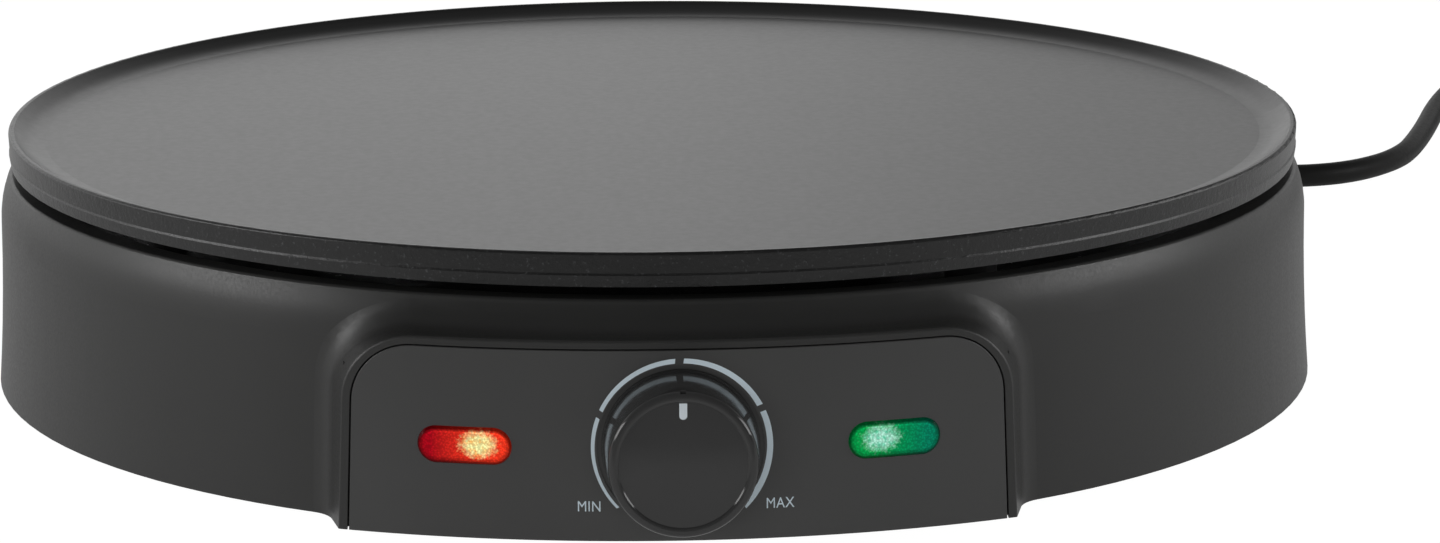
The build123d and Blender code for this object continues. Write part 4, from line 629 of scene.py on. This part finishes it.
def lay_floor():
    """A pale table: white to the camera under the object's shadow, darker in reflections."""
    clear_selection()
    bpy.ops.mesh.primitive_plane_add(size=FLOOR_SIZE)
    floor = bpy.context.object
    floor.name = "floor"
    table = Finish("pale_table", (0.85, 0.85, 0.85), 0.9, Specular_IOR_Level=0.0)
    path = table.add("ShaderNodeLightPath")
    glow = table.add("ShaderNodeEmission")
    glow.inputs["Color"].default_value = (1, 1, 1, 1)
    beyond = table.span(table.radius(DARK_MIDDLE), DARK_REACH, DARK_REACH + DARK_FADE)
    seen = table.math("MAXIMUM", path.outputs["Is Camera Ray"], path.outputs["Is Transmission Ray"])
    mirrored = path.outputs["Is Glossy Ray"]
    in_gloss = table.math("MULTIPLY", mirrored, table.span(beyond, 0, 1, DARK_LEVEL, TABLE_LEVEL))
    level = table.math("MAXIMUM", table.math("MULTIPLY", seen, WHITE_LEVEL), in_gloss)
    table.link(level, glow.inputs["Strength"])
    part = table.math("MULTIPLY", table.math("MAXIMUM", seen, mirrored), GLOW_SHARE)
    mix = table.add("ShaderNodeMixShader")
    table.link(part, mix.inputs["Fac"])
    table.link(table.shader.outputs["BSDF"], mix.inputs[1])
    table.link(glow.outputs["Emission"], mix.inputs[2])
    table.link(mix.outputs["Shader"], table.tree.nodes["Material Output"].inputs["Surface"])
    floor.data.materials.append(table.material)


def hang_lamp(name, place, size_x, size_y, power):
    """A soft rectangular lamp that faces the object."""
    lamp = bpy.data.lights.new(name, "AREA")
    lamp.shape = "RECTANGLE"
    lamp.size = size_x
    lamp.size_y = size_y
    lamp.energy = power
    holder = bpy.data.objects.new(name, lamp)
    bpy.context.scene.collection.objects.link(holder)
    holder.location = place
    holder.rotation_mode = "QUATERNION"
    holder.rotation_quaternion = (Vector(LAMP_AIM) - Vector(place)).to_track_quat("-Z", "Y")
    return holder


def light_world():
    """Bright low behind the object, dark in front of it and darker above and to the right.
    The camera itself sees plain white."""
    world = bpy.data.worlds.new("room")
    bpy.context.scene.world = world
    world.use_nodes = True
    tree = world.node_tree

    def node(kind, **settings):
        made = tree.nodes.new(kind)
        for name, value in settings.items():
            setattr(made, name, value)
        return made

    def span(value, low, high, to_low, to_high):
        ramp = node("ShaderNodeMapRange", interpolation_type="SMOOTHSTEP")
        for socket, number in zip(RAMP_SOCKETS, (low, high, to_low, to_high)):
            ramp.inputs[socket].default_value = number
        tree.links.new(value, ramp.inputs["Value"])
        return ramp.outputs["Result"]

    def times(first, second):
        product = node("ShaderNodeMath", operation="MULTIPLY")
        tree.links.new(first, product.inputs[0])
        tree.links.new(second, product.inputs[1])
        return product.outputs["Value"]

    split = node("ShaderNodeSeparateXYZ")
    tree.links.new(node("ShaderNodeTexCoord").outputs["Generated"], split.inputs["Vector"])
    behind = span(split.outputs["Y"], -0.25, 0.50, 0.05, 0.965)
    low = span(split.outputs["Z"], 0.28, 0.70, 1.0, 0.18)
    left = span(split.outputs["X"], 0.02, 0.13, 1.0, 0.70)
    # inputs 2 and 3 are the two numbers that the node mixes
    mix = node("ShaderNodeMix", data_type="FLOAT")
    tree.links.new(node("ShaderNodeLightPath").outputs["Is Camera Ray"], mix.inputs[0])
    tree.links.new(times(times(behind, low), left), mix.inputs[2])
    mix.inputs[3].default_value = 1.0
    background = tree.nodes["Background"]
    background.inputs["Color"].default_value = (1, 1, 1, 1)
    tree.links.new(mix.outputs[0], background.inputs["Strength"])


def hang_lamps():
    """A soft lamp each side, and a weak one above and in front that reflections don't show."""
    hang_lamp("left_softbox", (-1.35, -0.30, 0.46), 0.9, 0.42, 5.6)
    hang_lamp("right_softbox", (1.35, -0.30, 0.46), 0.9, 0.42, 5.0)
    above = hang_lamp("top_softbox", (0, 0.35, 1.7), 1.2, 1.2, 2)
    in_front = hang_lamp("front_fill", (-0.25, -1.6, 0.30), 1.7, 0.5, 10.5)
    above.visible_glossy = False
    in_front.visible_glossy = False


lay_floor()
light_world()
hang_lamps()
bpy.context.scene.view_settings.view_transform = "Standard"
